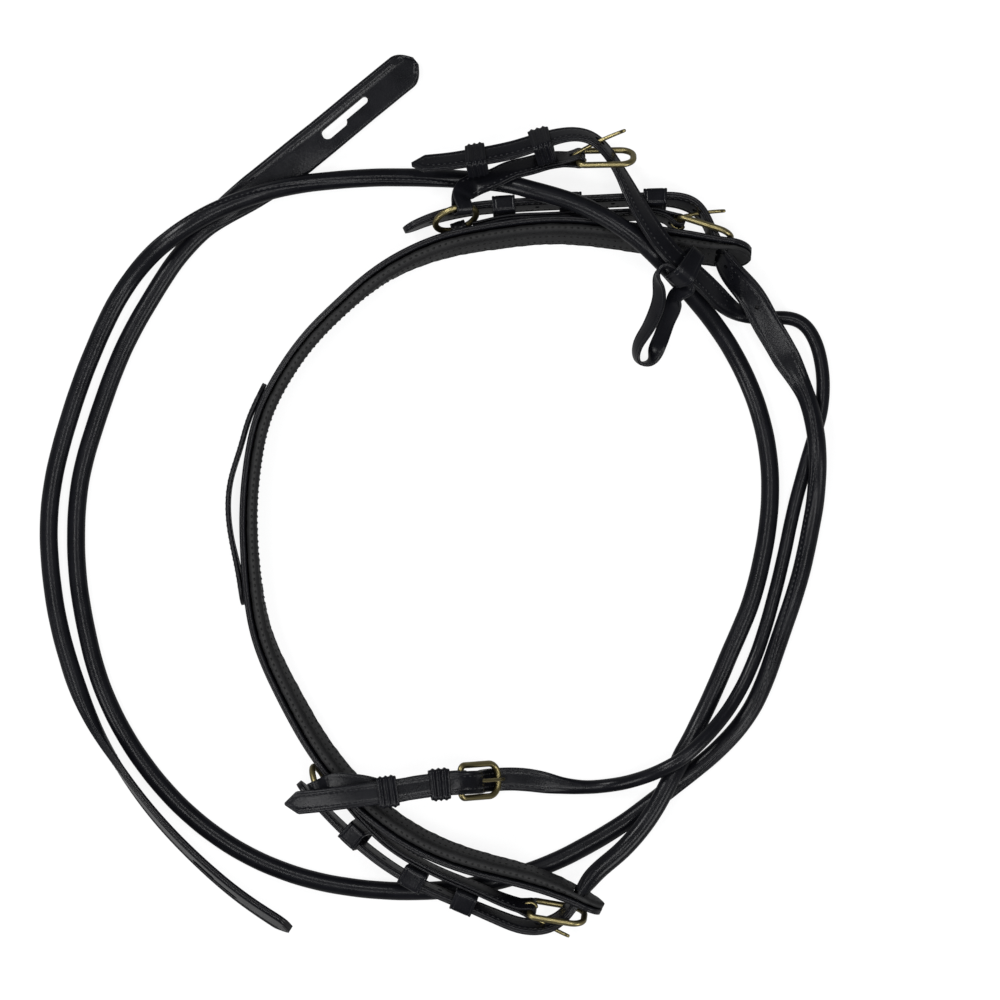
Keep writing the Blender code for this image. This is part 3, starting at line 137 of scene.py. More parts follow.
def makeStudio(cfg):
    camera = bpy.data.cameras.new("camera")
    cameraObject = added("camera", camera)
    side = cfg["pictureSide"] * layout["unit"]
    middle = spot(cfg["pictureSide"] / 2, cfg["pictureSide"] / 2, 0)
    camera.lens = camera.sensor_width * cfg["distance"] / side
    camera.clip_end = 60.0
    cameraObject.location = (middle[0], middle[1], cfg["distance"])
    bpy.context.scene.camera = cameraObject
    bpy.context.scene.view_settings.view_transform = "Standard"
    ring = cfg["overhead"]
    for turn in ring["turns"]:
        a = math.radians(turn)
        place = (ring["reach"] * math.cos(a), ring["reach"] * math.sin(a), ring["height"])
        cfg["lamps"].append((f"overhead{turn}", place, ring["size"], ring["power"]))
    for name, place, size, power in cfg["lamps"]:
        lamp = bpy.data.lights.new(name, "AREA")
        lamp.size = size
        lamp.energy = power
        lampObject = added(name, lamp)
        lampObject.location = place
        lampObject.rotation_euler = (-Vector(place)).to_track_quat("-Z", "Y").to_euler()
    world = bpy.data.worlds.new("studio")
    bpy.context.scene.world = world
    world.use_nodes = True
    fill(world.node_tree.nodes["Background"], Color=(*cfg["skyColour"], 1.0), Strength=cfg["skyStrength"])
    half = cfg["floorSide"] / 2
    mesh = bpy.data.meshes.new("floor")
    corners = [(-half, -half, 0), (half, -half, 0), (half, half, 0), (-half, half, 0)]
    mesh.from_pydata(corners, [], [(0, 1, 2, 3)])
    floor = added("floor", mesh)
    paint, tree, shader, place = newMaterial("floorPaint", 0.9, specular=0.1)
    fill(shader, Base_Color=(*cfg["floorColour"], 1.0), Emission_Color=(1.0, 1.0, 1.0, 1.0))
    # the floor is seen brighter than it lights the straps, so that their lower rims stay dark
    seen = tree.nodes.new("ShaderNodeLightPath").outputs["Is Camera Ray"]
    glow = tree.nodes.new("ShaderNodeMapRange")
    tree.links.new(seen, glow.inputs[0])
    glow.inputs[3].default_value, glow.inputs[4].default_value = cfg["floorGlow"]
    tree.links.new(glow.outputs[0], shader.inputs["Emission Strength"])
    mesh.materials.append(paint)
    floor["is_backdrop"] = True
    print("studio made")


makeStudio(studio)

# Materials. Patterns read Object coordinates in metres, and the cut edge reads the piece's attribute


def noise(tree, place, scale, detail=3.0, roughness=0.55):
    made = fill(tree.nodes.new("ShaderNodeTexNoise"), Scale=scale, Detail=detail, Roughness=roughness)
    tree.links.new(place, made.inputs["Vector"])
    return made.outputs["Fac"]


def ramp(tree, source, low, high, first, last):
    # source from low to high becomes the colour or number from first to last
    made = tree.nodes.new("ShaderNodeMapRange")
    colour = np.ndim(first)
    if colour:
        made.data_type = "FLOAT_VECTOR"
        low, high = (low,) * 3, (high,) * 3
    socket = 6 * colour
    tree.links.new(source, made.inputs[socket])
    for i, value in enumerate((low, high, first, last)):
        made.inputs[socket + 1 + i].default_value = value
    return made.outputs[colour]


def mix(tree, share, first, last):
    made = tree.nodes.new("ShaderNodeMix")
    made.data_type = "RGBA"
    tree.links.new(share, made.inputs[0])
    for socket, value in ((made.inputs[6], first), (made.inputs[7], last)):
        if isinstance(value, tuple):
            socket.default_value = (*value, 1.0)
        else:
            tree.links.new(value, socket)
    return made.outputs[2]


def bump(tree, shader, heights):
    # each entry is (height output, strength, distance), chained from coarse to fine
    before = None
    for height, strength, distance in heights:
        made = fill(tree.nodes.new("ShaderNodeBump"), Strength=strength, Distance=distance)
        tree.links.new(height, made.inputs["Height"])
        if before is not None:
            tree.links.new(before, made.inputs["Normal"])
        before = made.outputs["Normal"]
    tree.links.new(before, shader.inputs["Normal"])


leatherLook = {
    "dark": (0.0024, 0.0025, 0.0034), "light": (0.0044, 0.0045, 0.0060), "edge": (0.0085, 0.0084, 0.0094),
    "grain": 1150.0, "mottle": 60.0,
}


def makeLeather(name, cfg, roughness=0.26, grainDepth=0.14, specular=0.12):
    # dark dyed leather: pebble grain from Voronoi cells, slow mottling, and a paler rougher cut edge
    made, tree, shader, place = newMaterial(name, roughness, specular=specular)
    mottle = noise(tree, place, cfg["mottle"], 4.0)
    fine = noise(tree, place, cfg["grain"] * 0.35, 4.0)
    cells = fill(tree.nodes.new("ShaderNodeTexVoronoi"), Scale=cfg["grain"])
    tree.links.new(place, cells.inputs["Vector"])
    edge = tree.nodes.new("ShaderNodeAttribute")
    edge.attribute_name = "edge"
    colour = ramp(tree, mottle, 0.3, 0.7, cfg["dark"], cfg["light"])
    colour = mix(tree, ramp(tree, fine, 0.45, 0.75, 0.0, 0.5), colour, cfg["light"])
    colour = mix(tree, edge.outputs["Fac"], colour, cfg["edge"])
    tree.links.new(colour, shader.inputs["Base Color"])
    rough = ramp(tree, mottle, 0.25, 0.75, roughness - 0.03, roughness + 0.05)
    tree.links.new(rough, shader.inputs["Roughness"])
    bump(tree, shader, [(mottle, 0.10, 0.0006), (fine, 0.11, 0.00025),
                        (cells.outputs["Distance"], grainDepth, 0.00022)])
    return made


def makeBrass(name):
    # yellow brass: fine rub marks, slightly duller patches
    made, tree, shader, place = newMaterial(name, 0.24, 1.0)
    patch = noise(tree, place, 140.0, 4.0)
    rub = noise(tree, place, 1800.0, 2.0)
    colour = ramp(tree, patch, 0.35, 0.7, (0.20, 0.17, 0.082), (0.155, 0.130, 0.062))
    tree.links.new(colour, shader.inputs["Base Color"])
    tree.links.new(ramp(tree, patch, 0.3, 0.7, 0.32, 0.46), shader.inputs["Roughness"])
    bump(tree, shader, [(patch, 0.12, 0.0003), (rub, 0.08, 0.00008)])
    return made


def makeThread(name, colour):
    made, tree, shader, place = newMaterial(name, 0.6, specular=0.2)
    twist = fill(tree.nodes.new("ShaderNodeTexWave"), Scale=900.0, Distortion=1.5)
    tree.links.new(place, twist.inputs["Vector"])
    # painted shade: the thread is 0.6 as dark where the twist's bump is low, in its grooves
    colour = mix(tree, twist.outputs["Fac"], tuple(c * 0.6 for c in colour), colour)
    tree.links.new(colour, shader.inputs["Base Color"])
    bump(tree, shader, [(twist.outputs["Fac"], 0.4, 0.0001)])
    return made


blackLeather = makeLeather("blackLeather", leatherLook)
bandLeather = makeLeather("bandLeather", {**leatherLook, "mottle": 90.0}, 0.25, 0.12)
liningLook = {"dark": (0.0095, 0.0095, 0.0099), "light": (0.0145, 0.0145, 0.0150), "edge": (0.02, 0.02, 0.02),
              "grain": 1500.0, "mottle": 45.0}
liningLeather = makeLeather("liningLeather", liningLook, 0.45, 0.3, 0.06)
brassMetal = makeBrass("brassMetal")
blackThread = makeThread("blackThread", (0.018, 0.018, 0.020))
# paler than the other thread: the thread's own colour with the seams' highlight specks painted in
seamThreadAndHighlight = makeThread("seamThreadAndHighlight", (0.028, 0.028, 0.030))
# near black, darker than the other threads: the lining's stitches carry the shade of their holes, painted
# into the thread's colour
liningThreadAndHoleShade = makeThread("liningThreadAndHoleShade", (0.002, 0.002, 0.002))
print("materials made")

# Routes, the same curves as the CAD part's


def spline(knots, values, where):
    # natural cubic spline through the values at the knots
    n = len(knots)
    h = np.diff(knots)
    a = np.zeros((n, n))
    b = np.zeros((n, values.shape[1]))
    a[0, 0] = a[-1, -1] = 1.0
    for i in range(1, n - 1):
        a[i, i - 1] = h[i - 1]
        a[i, i] = 2 * (h[i - 1] + h[i])
        a[i, i + 1] = h[i]
        b[i] = 6 * ((values[i + 1] - values[i]) / h[i] - (values[i] - values[i - 1]) / h[i - 1])
    m = np.linalg.solve(a, b)
    k = np.clip(np.searchsorted(knots, where, side="right") - 1, 0, n - 2)
    t0 = (where - knots[k])[:, None]
    t1 = (knots[k + 1] - where)[:, None]
    hk = h[k][:, None]
    return (m[k] * t1**3 / (6 * hk) + m[k + 1] * t0**3 / (6 * hk)
            + (values[k] / hk - m[k] * hk / 6) * t1 + (values[k + 1] / hk - m[k + 1] * hk / 6) * t0)


def smoothed(values, reach, closed=False):
    # moving average with a bell weight; a closed row goes on past its ends, an open one turns over there
    half = int(reach * 3)
    weight = np.exp(-0.5 * (np.arange(-half, half + 1) / reach) ** 2)
    weight /= weight.sum()
    if closed:
        longer = np.concatenate([values[-half:], values, values[:half]])
    else:
        start = 2 * values[0] - values[half:0:-1]
        end = 2 * values[-1] - values[-2:-half - 2:-1]
        longer = np.concatenate([start, values, end])
    return np.column_stack([np.convolve(longer[:, i], weight, mode="valid") for i in range(values.shape[1])])


def readOff(where, knots, values):
    return np.column_stack([np.interp(where, knots, column) for column in values.T])


def runLength(points):
    # how far each point is along the line through them
    return np.concatenate([[0], np.cumsum(np.linalg.norm(np.diff(points, axis=0), axis=1))])


def squareTo(way, other):
    # a way turned square to another one
    way = np.array(way, float)
    return unitVector(way - other * (way @ other))


def leaning(level, lean):
    a = math.radians(lean)
    return level * math.cos(a) + np.array([0, 0, math.sin(a)])


class Route:
    # a strap's middle line with its width's way and its face's way, sampled every millimetre; stations are
    # (across, down, height, lean in degrees or the width's way, width, thickness, squareness)
    sideReach = 4.0
    shapeReach = 2.5

    def __init__(self, stations, smoothing=3.0):
        points = np.array([spot(*s[:3]) for s in stations])
        knots = runLength(points)
        tangents = unitVector(np.gradient(points, knots, axis=0))
        sides = []
        for station, tangent in zip(stations, tangents):
            side = station[3]
            if not np.ndim(side):
                side = leaning(unitVector(np.array([-tangent[1], tangent[0], 0.0])), side)
            side = squareTo(side, tangent)
            if sides and sides[-1] @ side < 0:
                side = -side
            sides.append(side)
        where = np.linspace(0, knots[-1], max(int(knots[-1] / mm), 20))
        self.line = smoothed(spline(knots, points, where), smoothing)
        self.s = runLength(self.line)
        self.length = self.s[-1]
        self.tangent = unitVector(np.gradient(self.line, self.s, axis=0))
        side = smoothed(readOff(where, knots, np.array(sides)), self.sideReach)
        side -= self.tangent * (side * self.tangent).sum(1)[:, None]
        self.side = unitVector(side)
        self.normal = np.cross(self.tangent, self.side)
        sizes = np.array([s[4:7] for s in stations], float)
        self.shape = smoothed(readOff(where, knots, sizes), self.shapeReach)

    def at(self, s):
        return [readOff(np.atleast_1d(s), self.s, values)
                for values in (self.line, self.tangent, self.side, self.normal, self.shape)]

    def one(self, s):
        return [v[0] for v in self.at(s)]

    def nearest(self, across, down, low=0.0, high=1.0):
        far = ((self.line[:, :2] - spot(across, down, 0)[:2]) ** 2).sum(1)
        keep = (self.s >= low * self.length) & (self.s <= high * self.length)
        return self.s[np.argmin(np.where(keep, far, 1e9))]

    def point(self, s, sideways, out):
        # points beside the route, sideways along its width and out along its face; any shape of arrays
        s, sideways, out = np.broadcast_arrays(s, sideways, out)
        line, tangent, side, normal, shape = self.at(s.ravel())
        found = (line + unitVector(side) * sideways.ravel()[:, None]
                 + unitVector(normal) * out.ravel()[:, None])
        return found.reshape(*s.shape, 3)


# Surfaces: a grid of points, rings along the piece and points round it


bodyOf = {n: b for b, members in frame["record"]["behaviour"]["bodies"].items() for n in members}


def finishPiece(obj, paint, body="harness", nodeName=None):
    # nodeName is the CAD piece that this one stands for
    obj.data.materials.append(paint)
    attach(obj, body)
    if nodeName:
        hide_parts(nodeName)
    return obj


def facesIn(points, quads, middle=0.0):
    a, b, c, d = (points[quads[:, n]] for n in range(4))
    return (np.cross(b - a, c - a) * (a - middle)).sum() + (np.cross(c - a, d - a) * (a - middle)).sum() < 0


def steps(points, closed):
    # from each point's neighbour before it to the one after it
    if closed:
        return np.roll(points, -1, axis=0) - np.roll(points, 1, axis=0)
    return np.gradient(points, axis=0)


def gridMesh(name, grid, edge=None, closedAlong=False):
    # quads between neighbouring rings, each end closed by a fan; edge is a number per point
    rings, around = grid.shape[:2]
    points = grid.reshape(-1, 3)
    last = rings if closedAlong else rings - 1
    i, k = np.meshgrid(np.arange(last), np.arange(around), indexing="ij")
    j = (i + 1) % rings
    m = (k + 1) % around
    quads = np.stack([i * around + k, i * around + m, j * around + m, j * around + k], axis=-1).reshape(-1, 4)
    inwards = facesIn(points, quads)
    fans = np.zeros((0, 3), int)
    if not closedAlong:
        k, m, far, top = k[0], m[0], (rings - 1) * around, len(points)
        fans = np.concatenate([np.stack([m, k, np.full(around, top)], 1),
                               np.stack([far + k, far + m, np.full(around, top + 1)], 1)])
        points = np.concatenate([points, np.stack([grid[0].mean(0), grid[-1].mean(0)])])
    if inwards:
        quads = quads[:, ::-1]
        fans = fans[:, ::-1]
    return meshOf(name, points, quads, fans, edge)


def meshOf(name, points, quads, triangles, edge=None):
    mesh = bpy.data.meshes.new(name)
    mesh.vertices.add(len(points))
    mesh.vertices.foreach_set("co", np.asarray(points, np.float32).ravel())
    mesh.loops.add(quads.size + triangles.size)
    corners = np.concatenate([quads.ravel(), triangles.ravel()])
    mesh.loops.foreach_set("vertex_index", corners.astype(np.int32))
    mesh.polygons.add(len(quads) + len(triangles))
    starts = np.concatenate([np.arange(len(quads)) * 4, quads.size + np.arange(len(triangles)) * 3])
    mesh.polygons.foreach_set("loop_start", starts.astype(np.int32))
    mesh.update(calc_edges=True)
    mesh.polygons.foreach_set("use_smooth", np.ones(len(mesh.polygons), bool))
    if edge is not None:
        full = np.zeros(len(points), np.float32)
        full[:edge.size] = edge.ravel()
        mesh.attributes.new("edge", "FLOAT", "POINT").data.foreach_set("value", full)
    return added(name, mesh)


def sectionPlan(faces=17, corners=3, edges=5):
    # places round a strap's section: f runs -1..1 over a face, g over an edge, and turn rounds the corners
    plan = []
    face = np.sin(np.linspace(-1, 1, faces) * np.pi / 2 * 0.86) / math.sin(np.pi / 2 * 0.86)
    for quarter in range(4):
        turn = quarter * 90.0
        sign, outer = ((1, 1.0), (-1, 1.0), (-1, -1.0), (1, -1.0))[quarter]
        if quarter % 2:
            plan += [(value * sign, outer, turn, quarter) for value in face]
        else:
            plan += [(outer, value * sign, turn, quarter) for value in np.linspace(-1, 1, edges)]
        corner = ((1, 1), (-1, 1), (-1, -1), (1, -1))[quarter]
        plan += [(*corner, turn + 90.0 * (n + 1) / (corners + 1), 4) for n in range(corners)]
    return np.array(plan, float)


plan = sectionPlan()
planTurn = np.radians(plan[:, 2])
planFace = plan[:, 3] % 2 == 1
planRim = (plan[:, 3] % 2 == 0) & (plan[:, 3] < 4)
planRound = (np.arange(len(plan)) - 2) / len(plan) * 2 * np.pi


def tipScale(kind, distance, widest):
    # width share near a tip: a quarter circle, a bowed taper or a slope, about half the width long
    if kind == "flat":
        return np.ones_like(distance)
    share = np.clip(distance / (widest * {"round": 1.0, "blunt": 0.95, "point": 1.1}[kind]), 0, 1)
    if kind == "round":
        return np.sqrt(np.clip(1 - (1 - share) ** 2, 0.04, 1))
    return 1 - 0.8 * (1 - share) ** 2 if kind == "blunt" else 0.12 + 0.88 * share


def strapSection(width, thickness, square, cfg):
    # rounded flat strap and round roll, mixed by how square the section is; rows are rings, columns go round
    w = width[:, None] / 2
    t = thickness[:, None] / 2
    # broad ends have a raised band along one side
    broad = np.clip((width[:, None] - 16.5) / 4.5, 0, 1) * cfg["broad"]
    corner = np.minimum(t * 0.84, cfg["corner"] + 0.8 * broad)
    creaseIn = cfg["creaseIn"] + 2.7 * broad
    flatShare = np.clip((square[:, None] - 2) / 3.5, 0, 1)
    f, g = plan[:, 0], plan[:, 1]
    side = np.sign(g)
    x = (w - corner) * f + corner * np.cos(planTurn)
    y = (t - corner) * g + corner * np.sin(planTurn)
    y = y + planFace * side * cfg["crown"] * (1 - f**2)
    fromEdge = np.minimum(np.abs(w - np.abs(x)), 50)
    crease = np.exp(-((fromEdge - creaseIn) / cfg["creaseWide"]) ** 2) * cfg["crease"]
    raised = cfg["raised"] * broad * np.sin(np.pi * np.clip(fromEdge / creaseIn, 0, 1))
    y = y + planFace * side * np.where((broad > 0.1) & (x > 0), 0.0, raised - crease)
    layered = planRim & (np.abs(g) < 0.2)
    x = x - layered * np.sign(f) * cfg["layer"]
    return x, y, w, t, flatShare


leatherCut = {"corner": 0.8, "crown": 0.15, "broad": 1.0, "raised": 0.45, "crease": 0.42,
              "creaseIn": 2.3, "creaseWide": 0.6, "layer": 0.22, "pucker": 0.0, "step": 1.5,
              "seamDepth": 0.5, "seamWide": 0.16, "lump": 0.06}


def ripple(s, waves):
    return sum(np.sin(s * k + p) for k, p in waves) / len(waves)


def strapPiece(name, nodeName, route, tips, cfg=leatherCut, paint=blackLeather, body="harness", trim=0.0,
               profile=None, seam=None):
    # rings every step millimetres, closer at the tips; profile turns the route's width and thickness into
    # this piece's own and how far out it lies, and seam is a roll's stitched line
    start, end = trim, route.length - trim
    s = np.arange(start, end, cfg["step"] * mm)
    near = np.array([0.0, 0.1, 0.3, 0.6, 1.0, 1.5, 2.1, 2.8, 3.6, 4.5, 5.5, 6.6, 7.8]) * mm
    s = np.unique(np.round(np.concatenate([s, start + near, end - near, [start, end]]), 7))
    s = s[(s >= start - 1e-9) & (s <= end + 1e-9)]
    shape = route.at(s)[4]
    w, t = shape[:, 0], shape[:, 1]
    away = 0.0 * w
    if profile:
        w, t, away = (0.0 * w + v for v in profile(w, t))
    taper = tipScale(tips[0], s - start, w[0] * mm / 2) * tipScale(tips[1], end - s, w[-1] * mm / 2)
    x, y, halfW, halfT, flatShare = strapSection(w * taper, t, shape[:, 2], cfg)
    pull = ripple(s, ((730.0, 0.2), (1130.0, 2.6), (410.0, 4.4)))
    y = y + cfg["pucker"] * pull[:, None] * np.sign(y) * np.exp(-((np.abs(plan[:, 0]) - 0.75) / 0.3) ** 2)
    roundX = halfW * np.cos(planRound)
    roundY = halfT * np.sin(planRound)
    if seam is not None:
        place = np.radians(np.interp(s, *zip(*seam)))
        turned = (planRound[None] - place[:, None] + np.pi) % (2 * np.pi) - np.pi
        depth = cfg["seamDepth"] / halfT.clip(1)
        dent = 1 - depth * np.exp(-(turned / cfg["seamWide"]) ** 2)
        dent = dent + 0.35 * depth * np.exp(-((np.abs(turned) - 0.36) / 0.14) ** 2)
        roundX = roundX * dent
        roundY = roundY * dent
    wave = ripple(s, ((61.0, 0.4), (143.0, 1.9), (317.0, 4.1)))
    x = flatShare * x + (1 - flatShare) * roundX + wave[:, None] * cfg["lump"]
    y = flatShare * y + (1 - flatShare) * roundY + away[:, None]
    edge = planRim * np.clip(flatShare * 1.4 - 0.4, 0, 1)
    return finishPiece(gridMesh(name, route.point(s[:, None], x * mm, y * mm), edge), paint, body, nodeName)


# Stitches: one capsule shape, bent so that its ends go down into the leather, repeated along a row


def sewRows(name, rows, paint=blackThread, length=2.1, gauge=0.8):
    # rows are (points, ways, ups): each stitch lies along its way and stands up from the surface, round and
    # thick in the middle, its ends dipping
    rings, around = 5, 6
    u = np.linspace(-1, 1, rings)[:, None]
    a = np.arange(around) / around * 2 * np.pi
    girth = np.sqrt(np.clip(1 - u**4, 0.12, 1))
    shape = np.broadcast_arrays(u, girth * np.cos(a), girth * np.sin(a) - u**2 * 0.9)
    u, across, up = (v.ravel() for v in shape)
    points = []
    for place, way, above in rows:
        way = unitVector(way)
        above = unitVector(above - way * (above * way).sum(1)[:, None])
        sideways = np.cross(way, above)
        points.append(place[:, None] + (u[None, :, None] * way[:, None] * length / 2
                                        + across[None, :, None] * sideways[:, None] * gauge / 2
                                        + up[None, :, None] * above[:, None] * gauge / 2) * mm)
    points = np.concatenate(points)
    count = len(points)
    i, k = np.meshgrid(np.arange(rings - 1), np.arange(around), indexing="ij")
    m = (k + 1) % around
    corners = [i * around + k, (i + 1) * around + k, (i + 1) * around + m, i * around + m]
    quads = np.stack(corners, -1).reshape(-1, 4)
    ends = np.array([[0, 1, 2, 3], [0, 3, 4, 5]])
    far = (rings - 1) * around
    quads = np.concatenate([quads, ends, np.array([[3, 2, 1, 0], [5, 4, 3, 0]]) + far])
    whole = (quads[None] + (np.arange(count) * rings * around)[:, None, None]).reshape(-1, 4)
    flat = points.reshape(-1, 3)
    if facesIn(flat, quads, flat[:rings * around].mean(0)):
        whole = whole[:, ::-1]
    return finishPiece(meshOf(name, flat, whole, np.zeros((0, 3), int)), paint)


def stitchPlaces(start, end, pitch):
    count = max(int((end - start) / (pitch * mm)), 2)
    return start + (np.arange(count) + 0.5) / count * (end - start)


def stitchRow(route, start, end, sideways, out, turn=None, pitch=2.9, meet=0.0):
    # sideways and out are functions of (width, thickness), in millimetres; turn is the surface's way, in
    # degrees, and over the last meet millimetres at each end the row comes in to the strap's middle
    s = stitchPlaces(start, end, pitch)
    line, tangent, side, normal, shape = route.at(s)
    w, t = shape[:, 0], shape[:, 1]
    x, y = sideways(w, t), out(w, t)
    if meet:
        x = x * np.sqrt(np.clip(np.minimum(s - start, end - s) / (meet * mm), 0, 1))
    place = line + unitVector(side) * x[:, None] * mm + unitVector(normal) * y[:, None] * mm
    ahead = unitVector(np.gradient(place, axis=0))
    if turn is None:
        above = unitVector(normal) * np.sign(y)[:, None]
    else:
        a = np.radians(0.0 * s + turn)
        above = unitVector(side) * np.cos(a)[:, None] + unitVector(normal) * np.sin(a)[:, None]
    return place, ahead, above


def edgeRows(route, start, end, inset=2.3, faces=(1, -1), sink=0.1, pitch=3.2, sides=(1, -1), meet=0.0):
    # a row along each side of each face, set in from the edge
    return [stitchRow(route, start, end, lambda w, t, k=k: k * (w / 2 - inset),
                      lambda w, t, f=f: f * (t / 2 - sink), pitch=pitch, meet=meet)
            for f in faces for k in sides]


# Cuts: a tool shape takes a slot or a hole out of a piece, and its walls become cut edge


def prism(outline, centre, along, across, through, depth):
    # outline in millimetres over (along, across), going through by depth
    rings = [centre + (outline[:, :1] * along + outline[:, 1:] * across + level * through) * mm
             for level in (-depth / 2, depth / 2)]
    return gridMesh("tool", np.array(rings), np.ones(2 * len(outline)))


def ovalOutline(length, width, count=32):
    a = (np.arange(count) + 0.5) / count * 2 * np.pi
    straight = max(length - width, 0.0) / 2
    return np.column_stack([np.cos(a) * width / 2 + np.copysign(straight, np.cos(a)), np.sin(a) * width / 2])


def ovalTool(centre, along, through, length, width, depth):
    through = unitVector(np.array(through, float))
    along = squareTo(along, through)
    return prism(ovalOutline(length, width), centre, along, np.cross(through, along), through, depth)


def blockTool(centre, ways, halves):
    box = np.array([(-1, -1), (1, -1), (1, 1), (-1, 1)], float) * np.array(halves[:2])
    return prism(box, centre, ways[0], ways[1], ways[2], 2 * halves[2])


def carve(obj, tools):
    # takes every tool out of the piece and keeps the result as its mesh
    for tool in tools:
        modifier = obj.modifiers.new("carve", "BOOLEAN")
        modifier.operation = "DIFFERENCE"
        modifier.solver = "EXACT"
        modifier.object = tool
    graph = bpy.context.evaluated_depsgraph_get()
    carved = bpy.data.meshes.new_from_object(obj.evaluated_get(graph), preserve_all_data_layers=True,
                                             depsgraph=graph)
    obj.modifiers.clear()
    obj.data = carved
    carved.polygons.foreach_set("use_smooth", np.ones(len(carved.polygons), bool))
    carved.set_sharp_from_angle(angle=math.radians(48))
    for tool in tools:
        bpy.data.objects.remove(tool, do_unlink=True)


# Collar: outer strap and padded lining, both round a route that follows the stack's middle


def each(station, *marks):
    return [station(*mark) for mark in marks]


def collarHeight(base, lean):
    # the height of the stack's middle, when its lower edge is base millimetres above the floor
    a = math.radians(lean)
    return base + collarSizes["width"] / 2 * math.cos(a) + collarStack / 2 * math.sin(a)


def collarStation(across, down, lean, base=0.4, stack=collarStack):
    return (across, down, collarHeight(base, lean), 90 + lean, collarSizes["width"], stack, 6.0)


collarTips = ("round", "round")
collar = Route(each(
    collarStation, (751, 254.5, 27, 0.4, 6.6), (735, 254, 27, 0.4, 6.8), (715, 252, 26, 0.4, 8.0),
    (690, 248, 24), (650, 241, 21), (600, 234, 19), (550, 231, 18), (500, 236, 17), (446, 246, 14),
    (408, 260, 9), (376, 278, 4), (343, 305, 0), (310, 338, 0), (281, 379, 0), (263, 416, 0), (253, 460, 0),
    (248.5, 510, 0), (249.5, 550, 1), (253.5, 590, 4), (263, 636, 8), (277, 670, 11, 0.5),
    (294, 703, 13, 0.6), (314, 738, 14, 1.0), (338, 771, 15, 2.0), (368, 803, 15, 4.0), (400, 828, 15, 6.5),
    (437, 848, 15, 9.0), (480, 863, 14, 11.0), (530, 876, 12, 11.4), (560, 887, 11, 11.2, 8.2),
    (585, 899, 10, 11.0, 6.8), (602, 908, 10, 10.8, 6.6)), 5.0)
betweenLayers = collarSizes["outer"] + 2 * gap
collarOuter = strapPiece(
    "collarOuter", "collar_outer", collar, collarTips,
    {**leatherCut, "broad": 0.0, "corner": 1.0, "creaseIn": 3.4, "crease": 0.3, "layer": 0.3},
    profile=lambda width, stack: (width, collarSizes["outer"], stack / 2 - collarSizes["outer"] / 2))
collarLining = strapPiece(
    "collarLining", "collar_lining", collar, collarTips,
    {**leatherCut, "broad": 0.0, "corner": 2.3, "crown": 0.5, "crease": 0.9, "creaseIn": 2.6,
     "creaseWide": 0.9, "layer": 0.0, "pucker": 0.4, "lump": 0.1}, liningLeather, trim=0.2 * mm,
    profile=lambda width, stack: (collarSizes["width"] - 1.6, stack - collarSizes["outer"] - 2 * gap,
                                  -betweenLayers / 2))


windowSizes = {"halfLength": 3.4, "room": 1.4, "halfDepth": 12.0}


def collarWindow(across, down, low, high, raised):
    # the slot through which a trace leaves the collar
    line, tangent, side, normal, shape = collar.one(collar.nearest(across, down, low, high))
    length, room, depth = windowSizes.values()
    halves = (length, traceSizes["width"] / 2 + room, depth)
    return blockTool(line + side * raised * mm, (tangent, side, normal), halves)


for piece in (collarOuter, collarLining):
    carve(piece, [collarWindow(720.5, 251, 0.0, 0.2, 0.5), collarWindow(577, 895, 0.8, 1.0, 0.0)])
span = (15 * mm, collar.length - 15 * mm)
sewRows("collarStitches", edgeRows(collar, *span, inset=3.4, faces=(1,), sink=0.42))
onTop = stitchRow(collar, *span, lambda w, t: w / 2 - 0.9, lambda w, t: 2.5 - t / 2, 0.0, 3.6)
sewRows("liningStitches", [onTop] + edgeRows(collar, *span, inset=3.5, faces=(-1,), sink=0.5, pitch=3.6)
        + edgeRows(collar, *span, inset=8.5, faces=(-1,), sink=-0.3, pitch=3.6), liningThreadAndHoleShade, 2.3, 1.2)
print("collar made")

# Traces and neck strap: flat billets and long rolls, and on each trace a slotted flat end

billetHeight = gap + traceSizes["width"] / 2 + 1.7
traceFloor = traceSizes["roll"] / 2 + 0.05
neckFloor = neckSizes["roll"] / 2 + 0.1


def worldOf(origin, *ways):
    # turns three amounts, in millimetres along three ways, into places
    def world(*amounts):
        a, b, c = (v[..., None] for v in np.broadcast_arrays(*amounts))
        return origin + (a * ways[0] + b * ways[1] + c * ways[2]) * mm
    return world


class Seat:
    # a buckle's bar middle, the way to its far end, and the bar's own way
    def __init__(self, bar, far, lean):
        self.origin = spot(*bar)
        self.along = unitVector(spot(*far) - self.origin)
        self.across = squareTo(lean, self.along)
        self.out = np.cross(self.along, self.across)
        self.world = worldOf(self.origin, self.along, self.across, self.out)


seats = {
    "neck_upper": Seat((579, 159, 22.0), (636, 158, 22.0), (0.0, -0.457, 0.89)),
    "trace_upper": Seat((678, 224, 14.5), (730, 240.5, 14.3), (0.1, 0.36, 0.93)),
    "trace_lower": Seat((530.5, 907, 24.0), (584, 916, 24.0), (0.05, -0.43, 0.9)),
    "neck_lower": Seat((461, 781, 28.5), (497, 779, 7.0), (0.0, 1.0, 0.0)),
}


def inPicture(place, lift=0.0):
    # metres turned back into picture units and a height in millimetres
    return (place[0] / layout["unit"] + layout["across"], layout["down"] - place[1] / layout["unit"],
            place[2] / mm + lift)


def nearSeat(station, name, *marks):
    # stations at places in a buckle's own millimetres
    return [station(*inPicture(seats[name].world(*mark[:3])), *mark[3:]) for mark in marks]


def station(width, thickness, square, usualHeight=0.0, usualLean=0):
    # a kind of station: (across, down, height, lean) with these sizes
    return lambda across, down, height=usualHeight, lean=usualLean: (
        across, down, height, lean, width, thickness, square)


